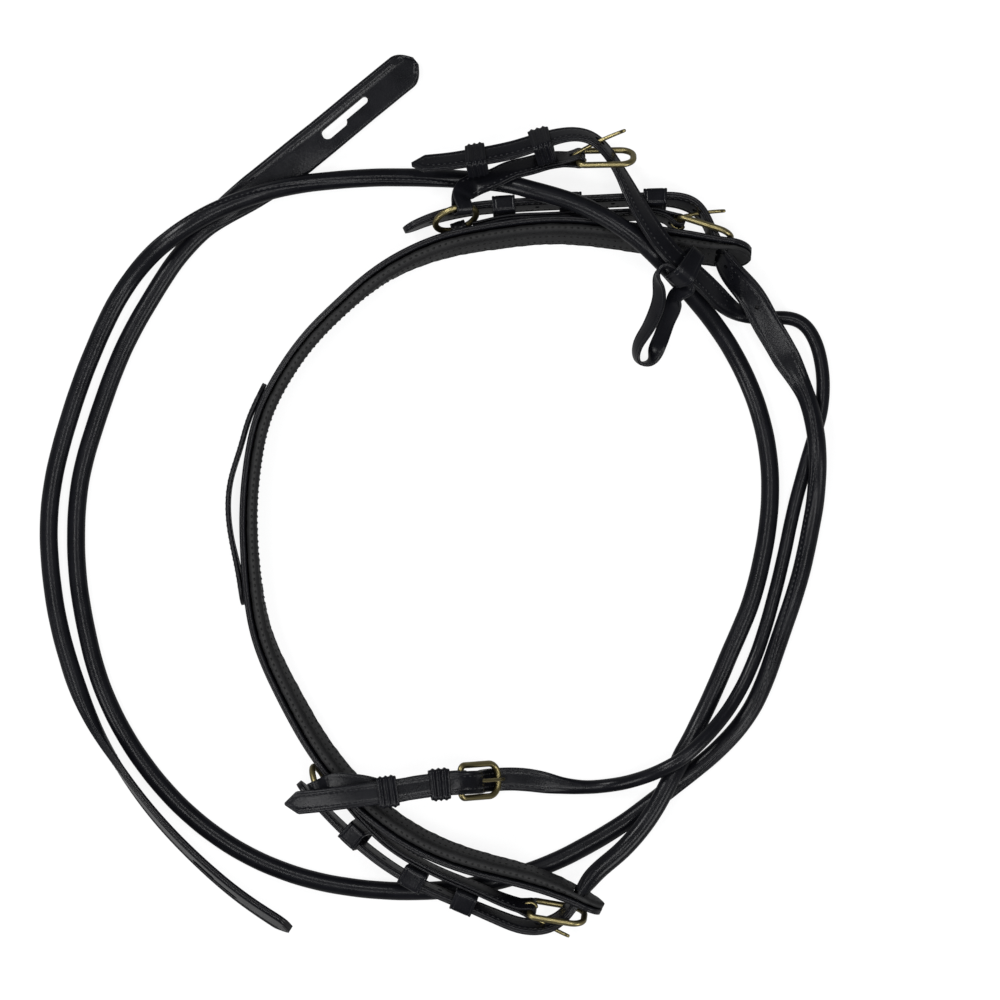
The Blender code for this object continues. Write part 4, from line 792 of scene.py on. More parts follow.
flat = station(traceSizes["width"], traceSizes["thickness"], 6.0, billetHeight, -108)
rolled = station(traceSizes["roll"], traceSizes["roll"], 2.0, traceFloor, 180)
traceEnd = station(traceSizes["endWidth"], traceSizes["endThickness"], 6.0)
neckFlat = station(neckSizes["width"], neckSizes["thickness"], 6.0)
neckRound = station(neckSizes["roll"], neckSizes["roll"], 2.0, neckFloor)
throughUpper = (-0.1, -0.36, -0.93)
throughLower = (0.05, -0.43, 0.9)
upperTrace = Route([
    *each(flat, (404, 231, billetHeight, -98), (425, 221.5, billetHeight, -102),
        (450, 214, billetHeight, -106), (475, 209), (503, 206.5), (537, 204.5), (571, 203), (605, 201.5),
        (636, 200), (657, 199.5, billetHeight, -109)),
    *nearSeat(flat, "trace_upper", (-4.6, 0.3, -13.5, -114), (4.4, 0.2, -13.6, -117),
        (10.5, 0.1, -11.0, throughUpper), (15.6, 0.2, -5.9, throughUpper), (19.7, 0.0, -0.8, throughUpper),
        (23.9, -1.2, 3.8, throughUpper)),
    *each(flat, (720, 252.5, 14.8, -116), (724.5, 262, 15.0, -128), (730, 271.5, 15.4, -139),
        (739.5, 283, 15.6, -149), (750.5, 296, 15.6, -159), (762, 317, 13.8, -168), (775, 339, 12.0, -176),
        (787, 360, 10.4, -180)),
    (798, 380, 10.4, 180, 12.5, 6.0, 3.0), (805, 394, 10.8, 180, 10.6, 9.0, 2.2),
    *each(rolled, (811, 412, 12.8), (815, 432, 14.0), (817, 452, 13.1), (817, 476, 9.4), (814.5, 505, 6.2),
        (809, 535), (803, 564), (792, 602), (779, 640), (766, 677), (750, 711), (730, 737), (706, 760),
        (680, 780.5), (652, 802), (625, 822), (592, 842), (560, 859), (530, 871), (482, 884), (430, 890.5),
        (380, 890), (320, 881.5), (260, 861), (206, 828), (161, 785), (126, 736), (100.5, 682), (85, 622),
        (77.5, 570), (76.5, 525), (81, 478), (94, 430), (110, 383), (129, 338), (156, 291), (178, 258),
        (192.5, 241.5)),
    (206, 227.5, 4.9, 180, 11.4, 8.6, 2.4), (221, 214.5, 3.8, 180, 14.6, 6.0, 3.2),
    (236, 203.5, 3.0, 180, 17.4, 4.8, 4.5), (251, 193, 2.6, 180, 19.6, 4.3, 6.0),
    (270, 179.5, 2.5, 180, 21.2, traceSizes["endThickness"], 6.0),
    *each(traceEnd, (294.5, 160.5, 3.3, 177), (325, 136, 4.5, 169), (355.6, 110.5, 5.0, 167),
        (386, 85.5, 4.9, 168), (416, 61, 4.7, 169)),
], 4.0)
lowerTrace = Route([
    *each(flat, (299, 782, 10.5, 96), (324, 809, 11.0, 100), (353, 837, 12.0, 103), (383, 861, 16.5, 104),
        (414, 880, 20.4, 104), (438, 891.5, 20.8, 105), (463, 901.5, 20.6, 107), (484, 910.5, 20.2, 109),
        (502, 918, 19.8, 112)),
    *nearSeat(flat, "trace_lower", (-4.2, 0.4, 11.8, 114), (5.4, 0.1, 11.1, 115),
        (13.5, 0.4, 7.2, throughLower), (19.5, 0.1, 0.8, throughLower), (22.8, -1.6, -5.1, throughLower)),
    (577.5, 895.5, 24.7, 99, 13.6, 5.6, 4.0), (583.5, 886.5, 24.4, 98, 11.2, 8.4, 2.4),
    *each(rolled, (591, 876.5, 22.8, 112), (600, 867.5, 21.0, 142), (610, 859.5, 19.6, 165),
        (620, 851, 18.2, 178), (631, 840, 17.2), (644, 824, 16.4), (656, 806, 16.3), (665, 789, 16.0),
        (674, 772, 14.8)),
    (682, 756, 11.8, 180, 11.6, 8.8, 2.4),
    *each(rolled, (690, 740, 8.4), (700, 720, 6.2), (714, 690), (731, 650), (748, 610), (760, 568),
        (768, 522), (770, 478), (765, 436, 5.6), (755, 400, 6.2), (743, 372, 8.2), (729, 346, 12.0),
        (711, 320, 17.0), (693, 298, 22.8), (674, 276.5, 28.4), (655, 256.5, 32.6), (640, 242.5, 34.0),
        (620, 227.5, 33.4), (600, 215.5, 31.4), (573, 203, 27.8), (545, 194.3, 24.0), (522, 188.0, 20.1),
        (503, 183.4, 15.6), (484, 181.4, 11.6), (466, 180, 8.8), (448, 178.8, 6.6), (428, 178),
        (400, 177.5), (370, 178, traceFloor + 0.4), (340, 180, 6.8), (305, 184, 9.4), (275, 190, 12.0),
        (247, 198.5, 13.6), (222, 208.5, 14.8), (200, 219.5, 15.8), (180, 232.5, 15.6), (160, 248, 13.2),
        (142, 266, 9.4), (126, 287, 6.2), (110, 315), (94, 350), (78, 392), (64, 437), (53.5, 481),
        (49, 527), (52, 580), (61, 632, traceFloor, 170), (75, 679, traceFloor, 140)),
    (88, 712, 6.0, 112, 10.6, 8.6, 2.3), (101, 737, 7.4, 96, 13.0, 6.4, 3.2),
    (116, 761, 9.2, 88, 16.5, 4.6, 5.0), (134, 787, 10.8, 84, 20.0, traceSizes["endThickness"], 6.0),
    *each(traceEnd, (162, 822, 11.2, 82), (199, 860, 11.4, 80), (244, 898, 11.4, 78), (291, 929, 11.4, 76)),
], 4.0)
neck = Route([
    *each(neckFlat, (412, 165.5, 22.0, -50), (432, 164, 23.6, -50), (452, 162, 25.4, -49),
        (478, 158, 27.0, -47), (503, 153.5, 27.4, -45), (525, 147.5, 27.4, -46), (543, 141.5, 27.6, -50),
        (560, 137, 28.2, -57)),
    *nearSeat(neckFlat, "neck_upper", (-1.5, -0.3, -15.0, -62), (6.5, -0.1, -12.9, -65),
        (12.7, 0.4, -8.0, -68), (16.8, 0.3, -2.4, -70), (19.9, 0.3, 2.8, -70), (22.7, 2.0, 7.4, -68)),
    *each(neckFlat, (624.5, 181, 21.6, -64), (630, 192, 24.6, -58), (636, 203.5, 28.6, -52),
        (643, 216, 33.4, -46), (651.5, 230, 38.6, -41), (661, 243.5, 42.3, -38), (672, 256.5, 43.7, -36),
        (683, 266.5, 42.3, -36), (695, 276.5, 38.0, -38), (706, 286.5, 31.8, -40), (717, 297.5, 24.0, -38)),
    (728, 307, 13.6, -28, 11.5, 4.4, 4.0), (740, 314, 6.0, -15, 9.0, 6.5, 2.5),
    *each(neckRound, (754, 317.5, 4.3), (770, 318), (788, 318), (802, 323), (813, 337), (820.5, 360),
        (823, 385), (821, 410), (813, 440), (803, 474), (794, 508), (786, 545), (778, 580), (768, 618),
        (757, 652, 5.0), (742, 686, 8.6), (723, 716, 14.0), (703, 739, 20.4), (684, 756, 23.8),
        (664, 768, 22.8), (640, 778, 16.0), (610, 785, 6.4), (585, 787)),
    (563, 785.5, 3.4, 0, 9.5, 5.6, 3.0), (545, 782.5, 2.6, 0, 12.4, 4.0, 4.5),
    *each(neckFlat, (525, 779.5, 2.1), (507, 779, 2.0), (496, 779.5, 2.2), (488.5, 780, 5.2)),
    *nearSeat(neckFlat, "neck_lower", (22.4, -0.6, -3.3), (17.7, -0.5, -0.4), (13.8, -0.4, 3.0),
        (9.3, -0.4, 6.1), (2.8, -0.2, 8.3), (-3.8, -0.1, 8.0)),
    *each(neckFlat, (455, 782, 38.6), (440, 783, 39.2), (414, 786.5, 40.4), (388, 790.5, 41.4),
        (360, 794, 41.6), (330, 798, 40.2), (303, 801, 37.6), (286, 802.5, 35.6)),
], 2.6)


def seamMarks(route, marks):
    # marks are (across, down, low share, high share, degrees round the roll)
    return sorted((route.nearest(*m[:4]), m[4]) for m in marks)


upperSeam = seamMarks(upperTrace, [
    (760, 315, 0, 0.3, -90), (805, 394, 0, 0.3, -90), (815, 440, 0, 0.3, -80), (812, 520, 0, 0.4, -40),
    (780, 640, 0, 0.5, -70), (745, 715, 0, 0.5, -108), (715, 752, 0, 0.5, -118), (640, 812, 0, 0.6, -170),
    (530, 871, 0, 0.7, -230), (206, 828, 0.3, 0.9, -250), (77, 570, 0.4, 1, -250), (110, 383, 0.5, 1, -260),
    (200, 233, 0.5, 1, -270),
])
lowerSeam = seamMarks(lowerTrace, [
    (591, 876, 0, 0.3, 100), (714, 690, 0, 0.5, 70), (770, 478, 0, 0.6, 110), (693, 298, 0.2, 0.8, 100),
    (573, 203, 0.2, 0.8, 130), (484, 181, 0.3, 0.8, 215), (428, 178, 0.3, 0.9, 250),
    (370, 178, 0.3, 0.9, 258), (305, 184, 0.3, 0.9, 272),
    (247, 198, 0.3, 0.9, 300), (200, 220, 0.3, 0.9, 322), (142, 266, 0.3, 0.95, 350), (94, 350, 0.4, 1, 400),
    (49, 527, 0.4, 1, 440), (70, 660, 0.5, 1, 420),
])
neckSeam = seamMarks(neck, [
    (740, 314, 0, 0.5, -90), (820, 360, 0, 0.6, -60), (794, 508, 0.2, 0.8, -90), (723, 716, 0.3, 0.8, -110),
    (585, 787, 0.4, 0.9, -90),
])
traceUpper = strapPiece("traceUpper", "trace_upper", upperTrace, ("round", "blunt"), seam=upperSeam)
traceLower = strapPiece("traceLower", "trace_lower", lowerTrace, ("round", "blunt"), seam=lowerSeam)
neckStrap = strapPiece("neckStrap", "neck_strap", neck, ("point", "point"), seam=neckSeam)

# Buckles: wire frames and tongues, then the holes and slots in the straps


def arc(centre, radius, start, end, count):
    a = np.radians(np.linspace(start, end, count))
    return np.column_stack([centre[0] + radius * np.cos(a), centre[1] + radius * np.sin(a)])


def straight(first, last, count):
    share = np.linspace(0, 1, count + 2)[1:-1, None]
    return np.array(first) * (1 - share) + np.array(last) * share


def tubePiece(name, nodeName, points, plane, radius, body, closed=True, around=28):
    # a round wire through points that lie in one plane; radius in millimetres, one or one per point
    across = np.cross(plane, unitVector(steps(points, closed)))
    a = np.arange(around) / around * 2 * np.pi
    ring = np.cos(a)[None, :, None] * plane + np.sin(a)[None, :, None] * across[:, None]
    grid = points[:, None] + ring * np.reshape(radius, (-1, 1, 1)) * mm
    return finishPiece(gridMesh(name, grid, closedAlong=closed), brassMetal, body, nodeName)


def buckleFrame(name, seat, half, length=30.8, far=7.8, near=3.2):
    # near and far are its corners' radii at the bar and away from it
    end, low, high = length - far, half - near, half - far
    outline = np.concatenate([
        arc((near, -low), near, 180, 270, 10), straight((near, -half), (end, -half), 16),
        arc((end, -high), far, 270, 360, 16), straight((length, -high), (length, high), 8),
        arc((end, high), far, 0, 90, 16), straight((end, half), (near, half), 16),
        arc((near, low), near, 90, 180, 10), straight((0, low), (0, -low), 12)])
    points = seat.world(outline[:, 0], outline[:, 1], 0.0)
    tubePiece(name + ".frame", name + "_buckle_frame", points, seat.out, brassWire / 2, "harness")


def buckleTongue(name, seat, tip, hand, bend):
    # its ring goes round the bar, then the shaft runs to the tip and thins
    tip = np.array(tip, float)
    aside = math.acos(tongueRing / np.linalg.norm(tip))
    leave = math.degrees(math.atan2(tip[1], tip[0])) + hand * math.degrees(aside)
    ring = arc((0, 0), tongueRing, leave + hand * 238, leave, 40)
    start = ring[-1]
    across = unitVector(np.array([-(tip - start)[1], (tip - start)[0]])) * hand

    def along(share):
        return start + (tip - start) * share + across * bend * np.sin(np.pi * share)

    shaft = along(np.linspace(0, 1, 34)[1:, None])
    points = np.concatenate([ring, shaft[:-3], along(np.array([0.90, 0.96, 0.985, 0.995])[:, None])])
    width = np.concatenate([np.ones(len(ring)), np.linspace(1.0, 0.86, len(points) - len(ring))])
    width[:4] *= (0.35, 0.7, 0.88, 0.97)
    width[-4:] *= (1.0, 0.96, 0.82, 0.55)
    tubePiece(name + ".tongue", name + "_tongue", seat.world(points[:, 0], 0.0, points[:, 1]), seat.across,
              tongueWire / 2 * width, name + "_tongue", False)
    return seat.world(shaft[:, 0], 0.0, shaft[:, 1])


traceHalf = traceSizes["width"] / 2 + 0.8 + brassWire / 2
neckHalf = neckSizes["width"] / 2 + 0.9 + brassWire / 2
tongues = {"neck_upper": ((26.8, -17.2), -1, 0.8), "trace_upper": ((23.6, -16.4), -1, 0.8),
           "trace_lower": ((24.6, 13.6), 1, 0.8), "neck_lower": ((32.4, 3.5), 1, 0.4)}
shafts = {}
for name, seat in seats.items():
    buckleFrame(name, seat, traceHalf if name.startswith("trace") else neckHalf)
    shafts[name] = buckleTongue(name, seat, *tongues[name])


def tongueTool(route, shaft, low, high, length=6.4):
    # the slanted hole where a tongue's shaft goes through its strap
    line = readOff(np.linspace(0, len(shaft) - 1, 120), np.arange(len(shaft)), shaft)
    keep = np.nonzero((route.s > low) & (route.s < high))[0]
    apart = np.linalg.norm(route.line[keep][:, None] - line[None], axis=2)
    i, j = np.unravel_index(np.argmin(apart), apart.shape)
    j = min(max(j, 2), len(line) - 3)
    through = line[j + 2] - line[j - 2]
    return ovalTool(line[j], route.tangent[keep[i]], through, length, tongueWire + 1.0, 13.0)


def endSlot(route):
    # a recess from the face, its inner half open right through and its outer half narrowed by a lip
    length, width, fromTip, lip, step, ledge = slotSizes.values()
    line, tangent, side, normal, shape = route.one(route.length - fromTip * mm)
    through = width - 2 * ledge
    thick = traceSizes["endThickness"]
    return [ovalTool(line - normal * thick * (1 - step) * mm, tangent, normal, length, width, thick),
            ovalTool(line - tangent * length / 4 * mm, tangent, normal, length / 2 - ledge, through, 12.0),
            ovalTool(line - side * lip / 2 * mm, tangent, normal, length - 3 * ledge, through - lip, 12.1)]


def punchHoles(route, places, low, high, size=2.6):
    # each hole goes in from the face that is seen and stops just short of the other one
    made = []
    for across, down in places:
        line, tangent, side, normal, shape = route.one(route.nearest(across, down, low, high))
        start = line - normal * shape[1] * 0.5 * mm
        made.append(ovalTool(start, tangent, normal, size, size * 0.99, shape[1] * 1.6))
    return made


upperHoles = [(430, 220), (455, 213), (537, 204.5), (612, 201), (727, 267), (757, 308)]
lowerHoles = [(324, 809), (383, 861), (438, 891.5)]
carve(traceUpper, endSlot(upperTrace) + [tongueTool(upperTrace, shafts["trace_upper"], 0.0, 0.25)]
      + punchHoles(upperTrace, upperHoles, 0.0, 0.3))
carve(traceLower, endSlot(lowerTrace) + [tongueTool(lowerTrace, shafts["trace_lower"], 0.0, 0.25)]
      + punchHoles(lowerTrace, lowerHoles, 0.0, 0.25))
carve(neckStrap, [tongueTool(neck, shafts["neck_upper"], 0.0, 0.2),
                  tongueTool(neck, shafts["neck_lower"], neck.length - 0.2, neck.length)])
print("straps and buckles made")


seamSink = 0.42


def seamStitches(name, route, seam, first, last, pitch=3.2):
    # stitches lying in a roll's seam, between two picture places, in the paler thread whose colour paints the
    # seam's highlights
    start, end = route.nearest(*first), route.nearest(*last)
    turn = np.radians(np.interp(stitchPlaces(start, end, pitch), *zip(*seam)))
    row = stitchRow(route, start, end, lambda w, t: (w / 2 - seamSink) * np.cos(turn),
                    lambda w, t: (t / 2 - seamSink) * np.sin(turn), np.degrees(turn), pitch)
    sewRows(name, [row], seamThreadAndHighlight)


def flatStitches(name, route, flatEnd, slottedStart):
    # both sides of a trace's flat part, and one side of its slotted end
    sewRows(name, edgeRows(route, 12 * mm, route.nearest(*flatEnd), inset=2.2)
            + edgeRows(route, route.nearest(*slottedStart), route.length - 14 * mm, inset=4.9, sides=(-1,)))


flatStitches("traceUpperStitches", upperTrace, (717, 250, 0, 0.3), (240, 201, 0.5, 1))
flatStitches("traceLowerStitches", lowerTrace, (574, 901, 0, 0.3), (112, 755, 0.5, 1))
# a row of the paler thread along the upper trace's flat part, painting its highlight line
upperStrip = (upperTrace.nearest(727, 268, 0, 0.3), upperTrace.nearest(801, 386, 0, 0.3))
sewRows("traceUpperStrip", edgeRows(upperTrace, *upperStrip, inset=4.6, faces=(-1,), sides=(-1,)), seamThreadAndHighlight)
seamStitches("traceUpperSeam", upperTrace, upperSeam, (799, 384, 0, 0.3), (200, 233, 0.5, 1))
seamStitches("traceLowerSeam", lowerTrace, lowerSeam, (592, 876, 0, 0.3), (84, 703, 0.5, 1))
seamStitches("neckSeam", neck, neckSeam, (745, 316, 0, 0.5), (560, 785, 0.5, 1))
sewRows("neckStitches", edgeRows(neck, 5 * mm, neck.nearest(724, 304, 0, 0.4), inset=3.0, meet=8)
        + edgeRows(neck, neck.nearest(561, 785, 0.5, 1), neck.length - 5 * mm, inset=3.0, meet=8))
print("strap stitches made")

# Neck rings and their chapes


ringRadius = 12.1
chapeWidth = 8.6


class Ring:
    # its turn is measured from the way up, towards its level way
    def __init__(self, name, centre, level, tilt):
        self.centre = spot(*centre)
        self.level = unitVector(np.array([level[0], level[1], 0.0]))
        self.up = leaning(np.array([-self.level[1], self.level[0], 0.0]), tilt)
        points = np.array([self.at(turn)[0] for turn in np.arange(0, 360, 4.0)])
        tubePiece(name, name, points, np.cross(self.up, self.level), brassWire / 2, name, around=32)

    def at(self, turn):
        a = math.radians(turn)
        return (self.centre + ringRadius * mm * (math.cos(a) * self.up + math.sin(a) * self.level),
                -math.sin(a) * self.up + math.cos(a) * self.level)


def evenPath(path, closed, reach=1.6, spacing=0.45):
    # a path's corners rounded: points at even spacing, averaged over a short reach
    path = np.array(path, float)
    if closed:
        path = np.concatenate([path, path[:1]])
    run = runLength(path)
    where = np.linspace(0, run[-1], int(run[-1] / spacing), endpoint=not closed)
    return smoothed(readOff(where, run, path), reach, closed)


foldCut = {**leatherCut, "corner": 0.5, "crown": 0.06, "crease": 0.14, "creaseIn": 2.0, "creaseWide": 0.5,
           "layer": 0.0}


def foldPiece(name, nodeName, toWorld, path, width, closed=False, narrow=None):
    # a folded strap along a path of (length, out) points in millimetres; narrow gives a width per point
    even = evenPath(path, closed)
    along = unitVector(steps(even, closed))
    normal = np.column_stack([-along[:, 1], along[:, 0]])
    one = np.ones(len(even))
    widths = narrow(even[:, 0]) if narrow else width * one
    x, y, halfW, halfT, flatShare = strapSection(widths, tabLeather * one, 6.0 * one, foldCut)
    grid = toWorld(even[:, :1] + normal[:, :1] * y, x, even[:, 1:] + normal[:, 1:] * y)
    obj = gridMesh(name, grid, np.broadcast_to(planRim, x.shape), closed)
    return finishPiece(obj, blackLeather, nodeName=nodeName)


def ringChape(name, nodeName, ring, towards, reach, lean):
    # a fold round the ring's lowest point, its tails going down between the collar's layers
    bottom, way = ring.at(180)
    inward = squareTo(unitVector(np.array([*towards, 0.0])), way)
    up = np.cross(way, inward)
    up = up if up[2] > 0 else -up
    slope = math.tan(math.radians(lean))
    back = reach - (tabLeather + gap)
    path = [(reach - 7.2 * slope, -7.2), (reach - 3.5 * slope, -3.5), (reach - 0.3, -0.4), (reach * 0.8, 2.0),
            *arc((0.0, 0.35), brassWire / 2 + gap + 0.55 + tabLeather / 2, 62, 200, 16), (-1.6, -3.6),
            (back - 4.2 * slope - 0.5, -4.9), (back - 7.2 * slope, -7.2)]
    foldPiece(name, nodeName, worldOf(bottom, inward, way, up), path, chapeWidth)


upperRing = Ring("ring_upper", (456, 219.4, 19.0), (0.947, 0.322), 62)
lowerRing = Ring("ring_lower", (322.6, 785.4, 20.2), (0.40, -0.917), 104)
ringChape("ringChapeUpper", "ring_chape_upper", upperRing, (0.2, -0.98), 3.3, 14)
ringChape("ringChapeLower", "ring_chape_lower", lowerRing, (0.75, 0.6), 3.6, 15)

# Martingale loop on the collar's outer face


def stationOf(place, side, width, thickness, lift=0.0):
    return (*inPicture(place, lift), tuple(side), width, thickness, 6.0)


def beside(route, s, out, width, thickness, flip=1.0, lift=0.0):
    # a station that far out from a route's face
    return stationOf(route.point(s, 0.0, out * mm), route.at(s)[2][0] * flip, width, thickness, lift)


loopBand = (20.0, 2.5)
offCollar = station(*loopBand, 6.0, 13.4, (0.0, 0.0, 1.0))


def onCollar(across, down, further=0.0):
    s = collar.nearest(across, down)
    return beside(collar, s, collar.at(s)[4][0, 1] / 2 + (gap + 0.15 + 1.25 + further), *loopBand)


martingale = Route(each(onCollar, (277, 390), (268, 408), (262, 424, 0.6))
                   + each(offCollar, (241, 447), (231, 480), (228.5, 512), (232, 540))
                   + each(onCollar, (252, 566, 0.8), (256, 584), (260, 603)))
strapPiece("martingaleLoop", "martingale_loop", martingale, collarTips, {**leatherCut, "step": 0.9})
sewRows("martingaleStitches", edgeRows(martingale, 9 * mm, martingale.length - 9 * mm))
print("rings and loop made")

# Keepers: closed bands that follow their strap's bend, ridged on the neck strap and plain on the traces


def roundedOutline(halfWidth, below, above, corner, perCorner=7, perSide=7):
    # anticlockwise points round a rounded rectangle, each with the way it faces
    corners = [(halfWidth - corner, above - corner, 0), (-halfWidth + corner, above - corner, 90),
               (-halfWidth + corner, -below + corner, 180), (halfWidth - corner, -below + corner, 270)]
    points, facing = [], []
    for (x, y, turn), after in zip(corners, corners[1:] + corners[:1]):
        bend = arc((x, y), corner, turn, turn + 90, perCorner)
        side = arc((0, 0), 1, turn + 90, turn + 90, 1)
        points += [bend, straight(bend[-1], arc(after[:2], corner, turn + 90, turn + 90, 1)[0], perSide)]
        facing += [arc((0, 0), 1, turn, turn + 90, perCorner), np.repeat(side, perSide, 0)]
    return np.concatenate(points), np.concatenate(facing)


ribHeight = 0.85
ribReach = 0.85


def bandProfile(length, wall, ribs):
    # the keeper's own section: inner face, rounded rims, and an outer face with ridges
    rim = wall * 0.34
    run = np.linspace(-length / 2 + rim, length / 2 - rim, 45)
    rise = np.full(len(run), wall / 2)
    for k in range(ribs):
        middle = (ribs - 1 - 2 * k) / 2 * length / (ribs + 0.6)
        rise = rise + ribHeight * np.exp(-((run - middle) / ribReach) ** 2)
    if not ribs:
        rise = rise - 0.22 * np.exp(-((np.abs(run) - length / 2 + 1.7) / 0.4) ** 2)
    outerFace = np.column_stack([run, rise])[::-1]
    innerFace = np.column_stack([run[::5], np.full(len(run[::5]), -wall / 2)])
    x, y = length / 2 - rim, wall / 2 - rim
    return np.concatenate([
        innerFace, arc((x, -y), rim, -90, 0, 6)[1:], arc((x, y), rim, 0, 90, 6)[:-1],
        outerFace, arc((-x, y), rim, 90, 180, 6)[1:], arc((-x, -y), rim, 180, 270, 6)[:-1]])


def bandPiece(name, nodeName, route, middle, halfWidth, below, above, wall, length, corner=0.6, ribs=0,
              paint=bandLeather):
    half = wall / 2
    outline, facing = roundedOutline(halfWidth + half, below + half, above + half, corner + half)
    profile = bandProfile(length, wall, ribs)
    s = middle + profile[None, :, 0] * mm
    x = outline[:, :1] + facing[:, :1] * profile[None, :, 1]
    y = outline[:, 1:] + facing[:, 1:] * profile[None, :, 1]
    edge = 0.6 * np.broadcast_to(np.abs(profile[:, 0]) > length / 2 - 0.3, x.shape)
    obj = gridMesh(name, route.point(s, x * mm, y * mm), edge, True)
    return finishPiece(obj, paint, bodyOf[nodeName], nodeName)


# the strap that each buckle holds, where on it, how far below its middle the keepers reach, the room left
# between them and the leather underneath, and that leather's width and way
billets = {
    "neck_upper": (neck, (0.0, 0.2), 12.5, 0.75, neckSizes["width"], -1.0),
    "neck_lower": (neck, (0.8, 1.0), 5.6, 0.75, neckSizes["width"], -1.0),
    "trace_upper": (upperTrace, (0.0, 0.3), 6.5, 0.35, tugWidth, -1.0),
    "trace_lower": (lowerTrace, (0.0, 0.3), 8.6, 0.35, tugWidth, 1.0),
}
# across and down, and for the upper neck buckle how much less deep
keepers = {
    "neck_upper": [(476, 158, 4.3), (541, 142, 1.2)],
    "neck_lower": [(388, 790.5), (440, 783)],
    "trace_upper": [(503, 206.5), (571, 203), (655, 199.5)],
    "trace_lower": [(353, 837), (414, 880), (463, 901.5)],
}
for strap, marks in keepers.items():
    route, part, depth = billets[strap][:3]
    sizes, length, ribs = (neckSizes, 11.5, 3) if route is neck else (traceSizes, 13.0, 0)
    for letter, (across, down, *less) in zip("abc", marks):
        bandPiece(f"{strap.replace('_', '.')}.keeper.{letter}", f"{strap}_keeper_{letter}", route,
                  route.nearest(across, down, *part), sizes["width"] / 2 + 0.5,
                  depth - sum(less) - keeperLeather, sizes["thickness"] / 2 + gap + 0.1, keeperLeather,
                  length, ribs=ribs)
print("keepers made")

# Neck tabs and tugs: two layers folded into an eye round the bar, and for a tab round the ring too

eyeAtRing = brassWire / 2 + gap + 1.15 + tabLeather / 2
tabAt = station(tabWidth, foldThickness, 6.0)


def pinPlace(route, point):
    return route.s[np.argmin(np.linalg.norm(route.line - point, axis=1))]


def below(strap, *marks):
    # stations under the strap that a buckle holds: across, down and a lift
    route, part, depth, room, width, flip = billets[strap]
    out = -(depth + gap + room + tabHalf)
    return [beside(route, route.nearest(across, down, *part), out, width, foldThickness, flip, *lift)
            for across, down, *lift in marks]


def endStations(origin, bar, inwards, width):
    way = squareTo(inwards, bar)
    return [stationOf(origin + way * reach * mm, bar, width, foldThickness) for reach in (-6, 0, 6)]


def straightEnd(name, inwards, width):
    # the last stations before a buckle's bar
    return endStations(seats[name].origin, seats[name].across, unitVector(np.array(inwards, float)), width)


def onTug(across, down, out, low, high):
    s = collar.nearest(across, down, low, high)
    away = collar.at(s)[4][0, 1] / 2 + gap + 0.15 + tabHalf + out
    return beside(collar, s, away, tugWidth, foldThickness, -1.0)


tabUpper = Route(
    endStations(*upperRing.at(27), (0.2, 0.93, -0.25), tabWidth)
    + each(tabAt, (464.5, 191.5, 25.4, (0.86, -0.45, -0.1)), (470, 188, 21.6, (0.6, -0.75, 0.3)),
           (479, 184, 21.0, (0.35, -0.82, 0.5)), (491, 180.5, 22.6, (0.12, -0.75, 0.65)))
    + below("neck_upper", (505, 153, 3.6), (523, 148, 1.8), (541, 142))
    + straightEnd("neck_upper", (1.0, 0.1, 0.05), tabWidth), 2.0)
tabLower = Route(
    endStations(*lowerRing.at(0), (0.92, 0.4, 0.1), tabWidth)
    + each(tabAt, (346, 783.5, 34.0, (0.1, -0.99, 0.0)), (365, 785.5, 34.0, (0.0, -1.0, 0.0)))
    + below("neck_lower", (388, 790.5), (414, 786.5), (436, 783))
    + straightEnd("neck_lower", (0.97, 0.0, -0.25), tabWidth), 2.0)
tugUpper = Route(
    each(onTug, (476, 240.5, 0, 0.0, 0.4), (488, 238.5, 0.5, 0.0, 0.4))
    + below("trace_upper", (508, 206.5), (537, 204.5), (571, 203), (605, 201.5), (636, 200), (653, 199.5))
    + straightEnd("trace_upper", (0.88, -0.45, 0.1), tugWidth), 2.5)
tugLower = Route(
    each(onTug, (352, 787, 0, 0.6, 1.0), (362, 797, 0.6, 0.6, 1.0))
    + below("trace_lower", (383, 861), (414, 880), (438, 891.5), (463, 901.5), (484, 910.5))
    + straightEnd("trace_lower", (0.95, -0.3, 0.1), tugWidth), 2.5)


foldSizes = {"bend": 6.5, "step": 1.5, "ringWidth": 9.4, "narrowFrom": 3, "narrowTo": 12, "slotHalf": 5.4,
             "slotDeep": 6.5, "seamStop": 8}


def foldedStrap(name, nodeName, route, buckle, width, ring=None, turn=0):
    # from its first end, or the ring's wire, to the buckle's bar, with a slot for the tongue's ring
    seat, cfg = seats[buckle], foldSizes
    layer = (gap + tabLeather) / 2
    first = pinPlace(route, ring.at(turn)[0]) / mm if ring else 0.0
    last = pinPlace(route, seat.origin) / mm
    there = np.arange(first + (cfg["bend"] if ring else 0.0), last - cfg["bend"], cfg["step"])
    path = [*np.column_stack([there, np.full(len(there), layer)]),
            *arc((last, 0.0), eyeRadius, 128, -128, 30),
            *np.column_stack([there, np.full(len(there), -layer)])[::-1]]
    if ring:
        path += [*arc((first, 0.0), eyeAtRing, -52, -308, 30)]

    def narrow(length):
        return np.interp(length, [first + cfg["narrowFrom"], first + cfg["narrowTo"]],
                         [cfg["ringWidth"] if ring else width, width])

    def toWorld(length, sideways, out):
        return route.point(length * mm, sideways * mm, out * mm)

    piece = foldPiece(name, nodeName, toWorld, path, width, ring is not None, narrow)
    tangent = route.at(last * mm)[1][0]
    carve(piece, [blockTool(seat.origin, (tangent, seat.across, np.cross(tangent, seat.across)),
                            (cfg["slotHalf"], tongueWire / 2 + gap + 0.1, cfg["slotDeep"]))])
    start = (first + cfg["narrowTo"] if ring else 4) * mm
    sewRows(name + "Stitches", edgeRows(route, start, (last - cfg["seamStop"]) * mm, inset=1.9))


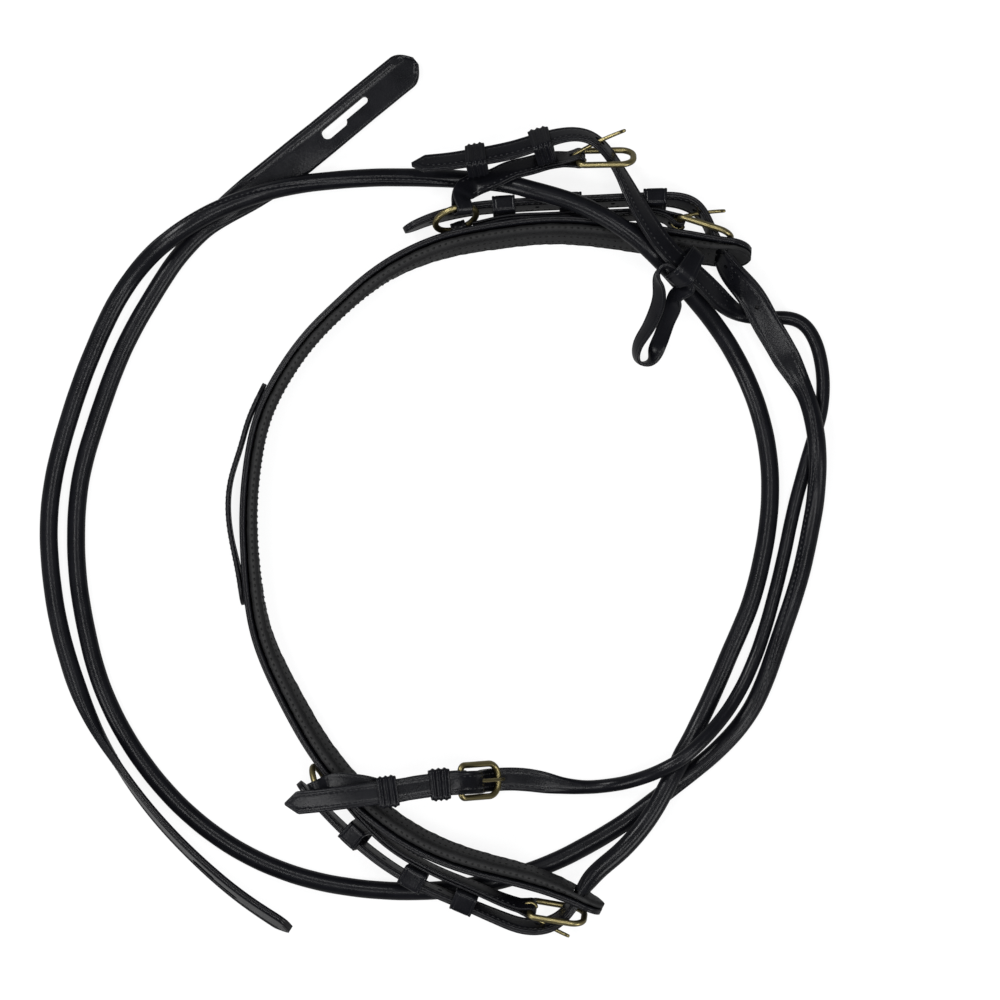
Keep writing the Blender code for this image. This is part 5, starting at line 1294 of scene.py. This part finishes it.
foldedStrap("neckTabUpper", "neck_tab_upper", tabUpper, "neck_upper", tabWidth, upperRing, 27)
foldedStrap("neckTabLower", "neck_tab_lower", tabLower, "neck_lower", tabWidth, lowerRing, 0)
foldedStrap("tugUpper", "tug_upper", tugUpper, "trace_upper", tugWidth)
foldedStrap("tugLower", "tug_lower", tugLower, "trace_lower", tugWidth)
print("tabs and tugs made")

# Rein runner on the neck strap, and the rein loop through its far side

runnerAt = neck.nearest(684, 267, 0.0, 0.3)
runnerReach = loopSizes["width"] / 2 + 2.05
bandPiece("reinRunner", "rein_runner", neck, runnerAt, neckSizes["width"] / 2 + 3.1, runnerReach, runnerReach,
          2.0, loopSizes["width"], 3.7, paint=blackLeather)
loopAway = neckSizes["width"] / 2 + gap + 0.1 + loopSizes["thickness"] / 2
loopAt = station(*loopSizes.values(), 6.0)


def loopStation(ahead, sideways=0.0):
    place = neck.point(runnerAt + ahead * mm, -(loopAway + sideways) * mm, 0.0)
    return stationOf(place, neck.at(runnerAt)[3][0], loopSizes["width"] - 0.9, loopSizes["thickness"])


def loopCorner(ahead, sideways, out, way):
    # a station near the runner, in millimetres from the loop's place in it
    place = worldOf(*neck.one(runnerAt)[:4])(ahead, -(loopAway + sideways), out)
    return stationOf(place, way, *loopSizes.values())


rein = Route([
    *each(loopStation, (0.3,), (3.0,), (5.6,), (8.0, 0.5)),
    loopCorner(8.0, 2.9, -8.8, (0.6, 0.3, 0.75)),
    *each(loopAt, (673, 305, 31.0, (0.85, 0.2, 0.5)), (667, 321, 21.5, (0.95, 0.3, 0.1)),
        (660.5, 339, 12.5, (0.95, 0.35, 0.1)), (655, 353, 7.5, (0.8, 0.3, 0.5)),
        (648, 363.5, 5.4, (0.4, 0.1, 0.9)), (639, 363, 5.4, (0.1, 0.1, 0.95)),
        (636, 351, 8.0, (0.3, 0.1, 0.9)), (644, 334, 15.5, (0.45, 0.2, 0.85)),
        (653.5, 316, 26.5, (0.5, 0.3, 0.8)), (658.5, 299, 35.5, (0.4, 0.45, 0.8))),
    *each(loopCorner, (-5.1, 5.1, -10.9, (0.3, 0.6, 0.75)), (-10.6, 1.6, -4.4, (0.35, 0.5, 0.75))),
    *each(loopStation, (-7.6, 0.2), (-5.0,), (-3.0,), (-0.3,)),
], 1.6)
reinCut = {**leatherCut, "step": 0.8, "corner": 0.6, "crease": 0.16, "creaseIn": 1.7, "creaseWide": 0.4,
           "layer": 0.1}
strapPiece("reinLoop", "rein_loop", rein, ("flat", "flat"), reinCut, body="rein_runner")
print("rein loop made")

sizes = {"cad": [list(v) for v in cadBox], "scene": [list(v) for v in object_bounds()]}
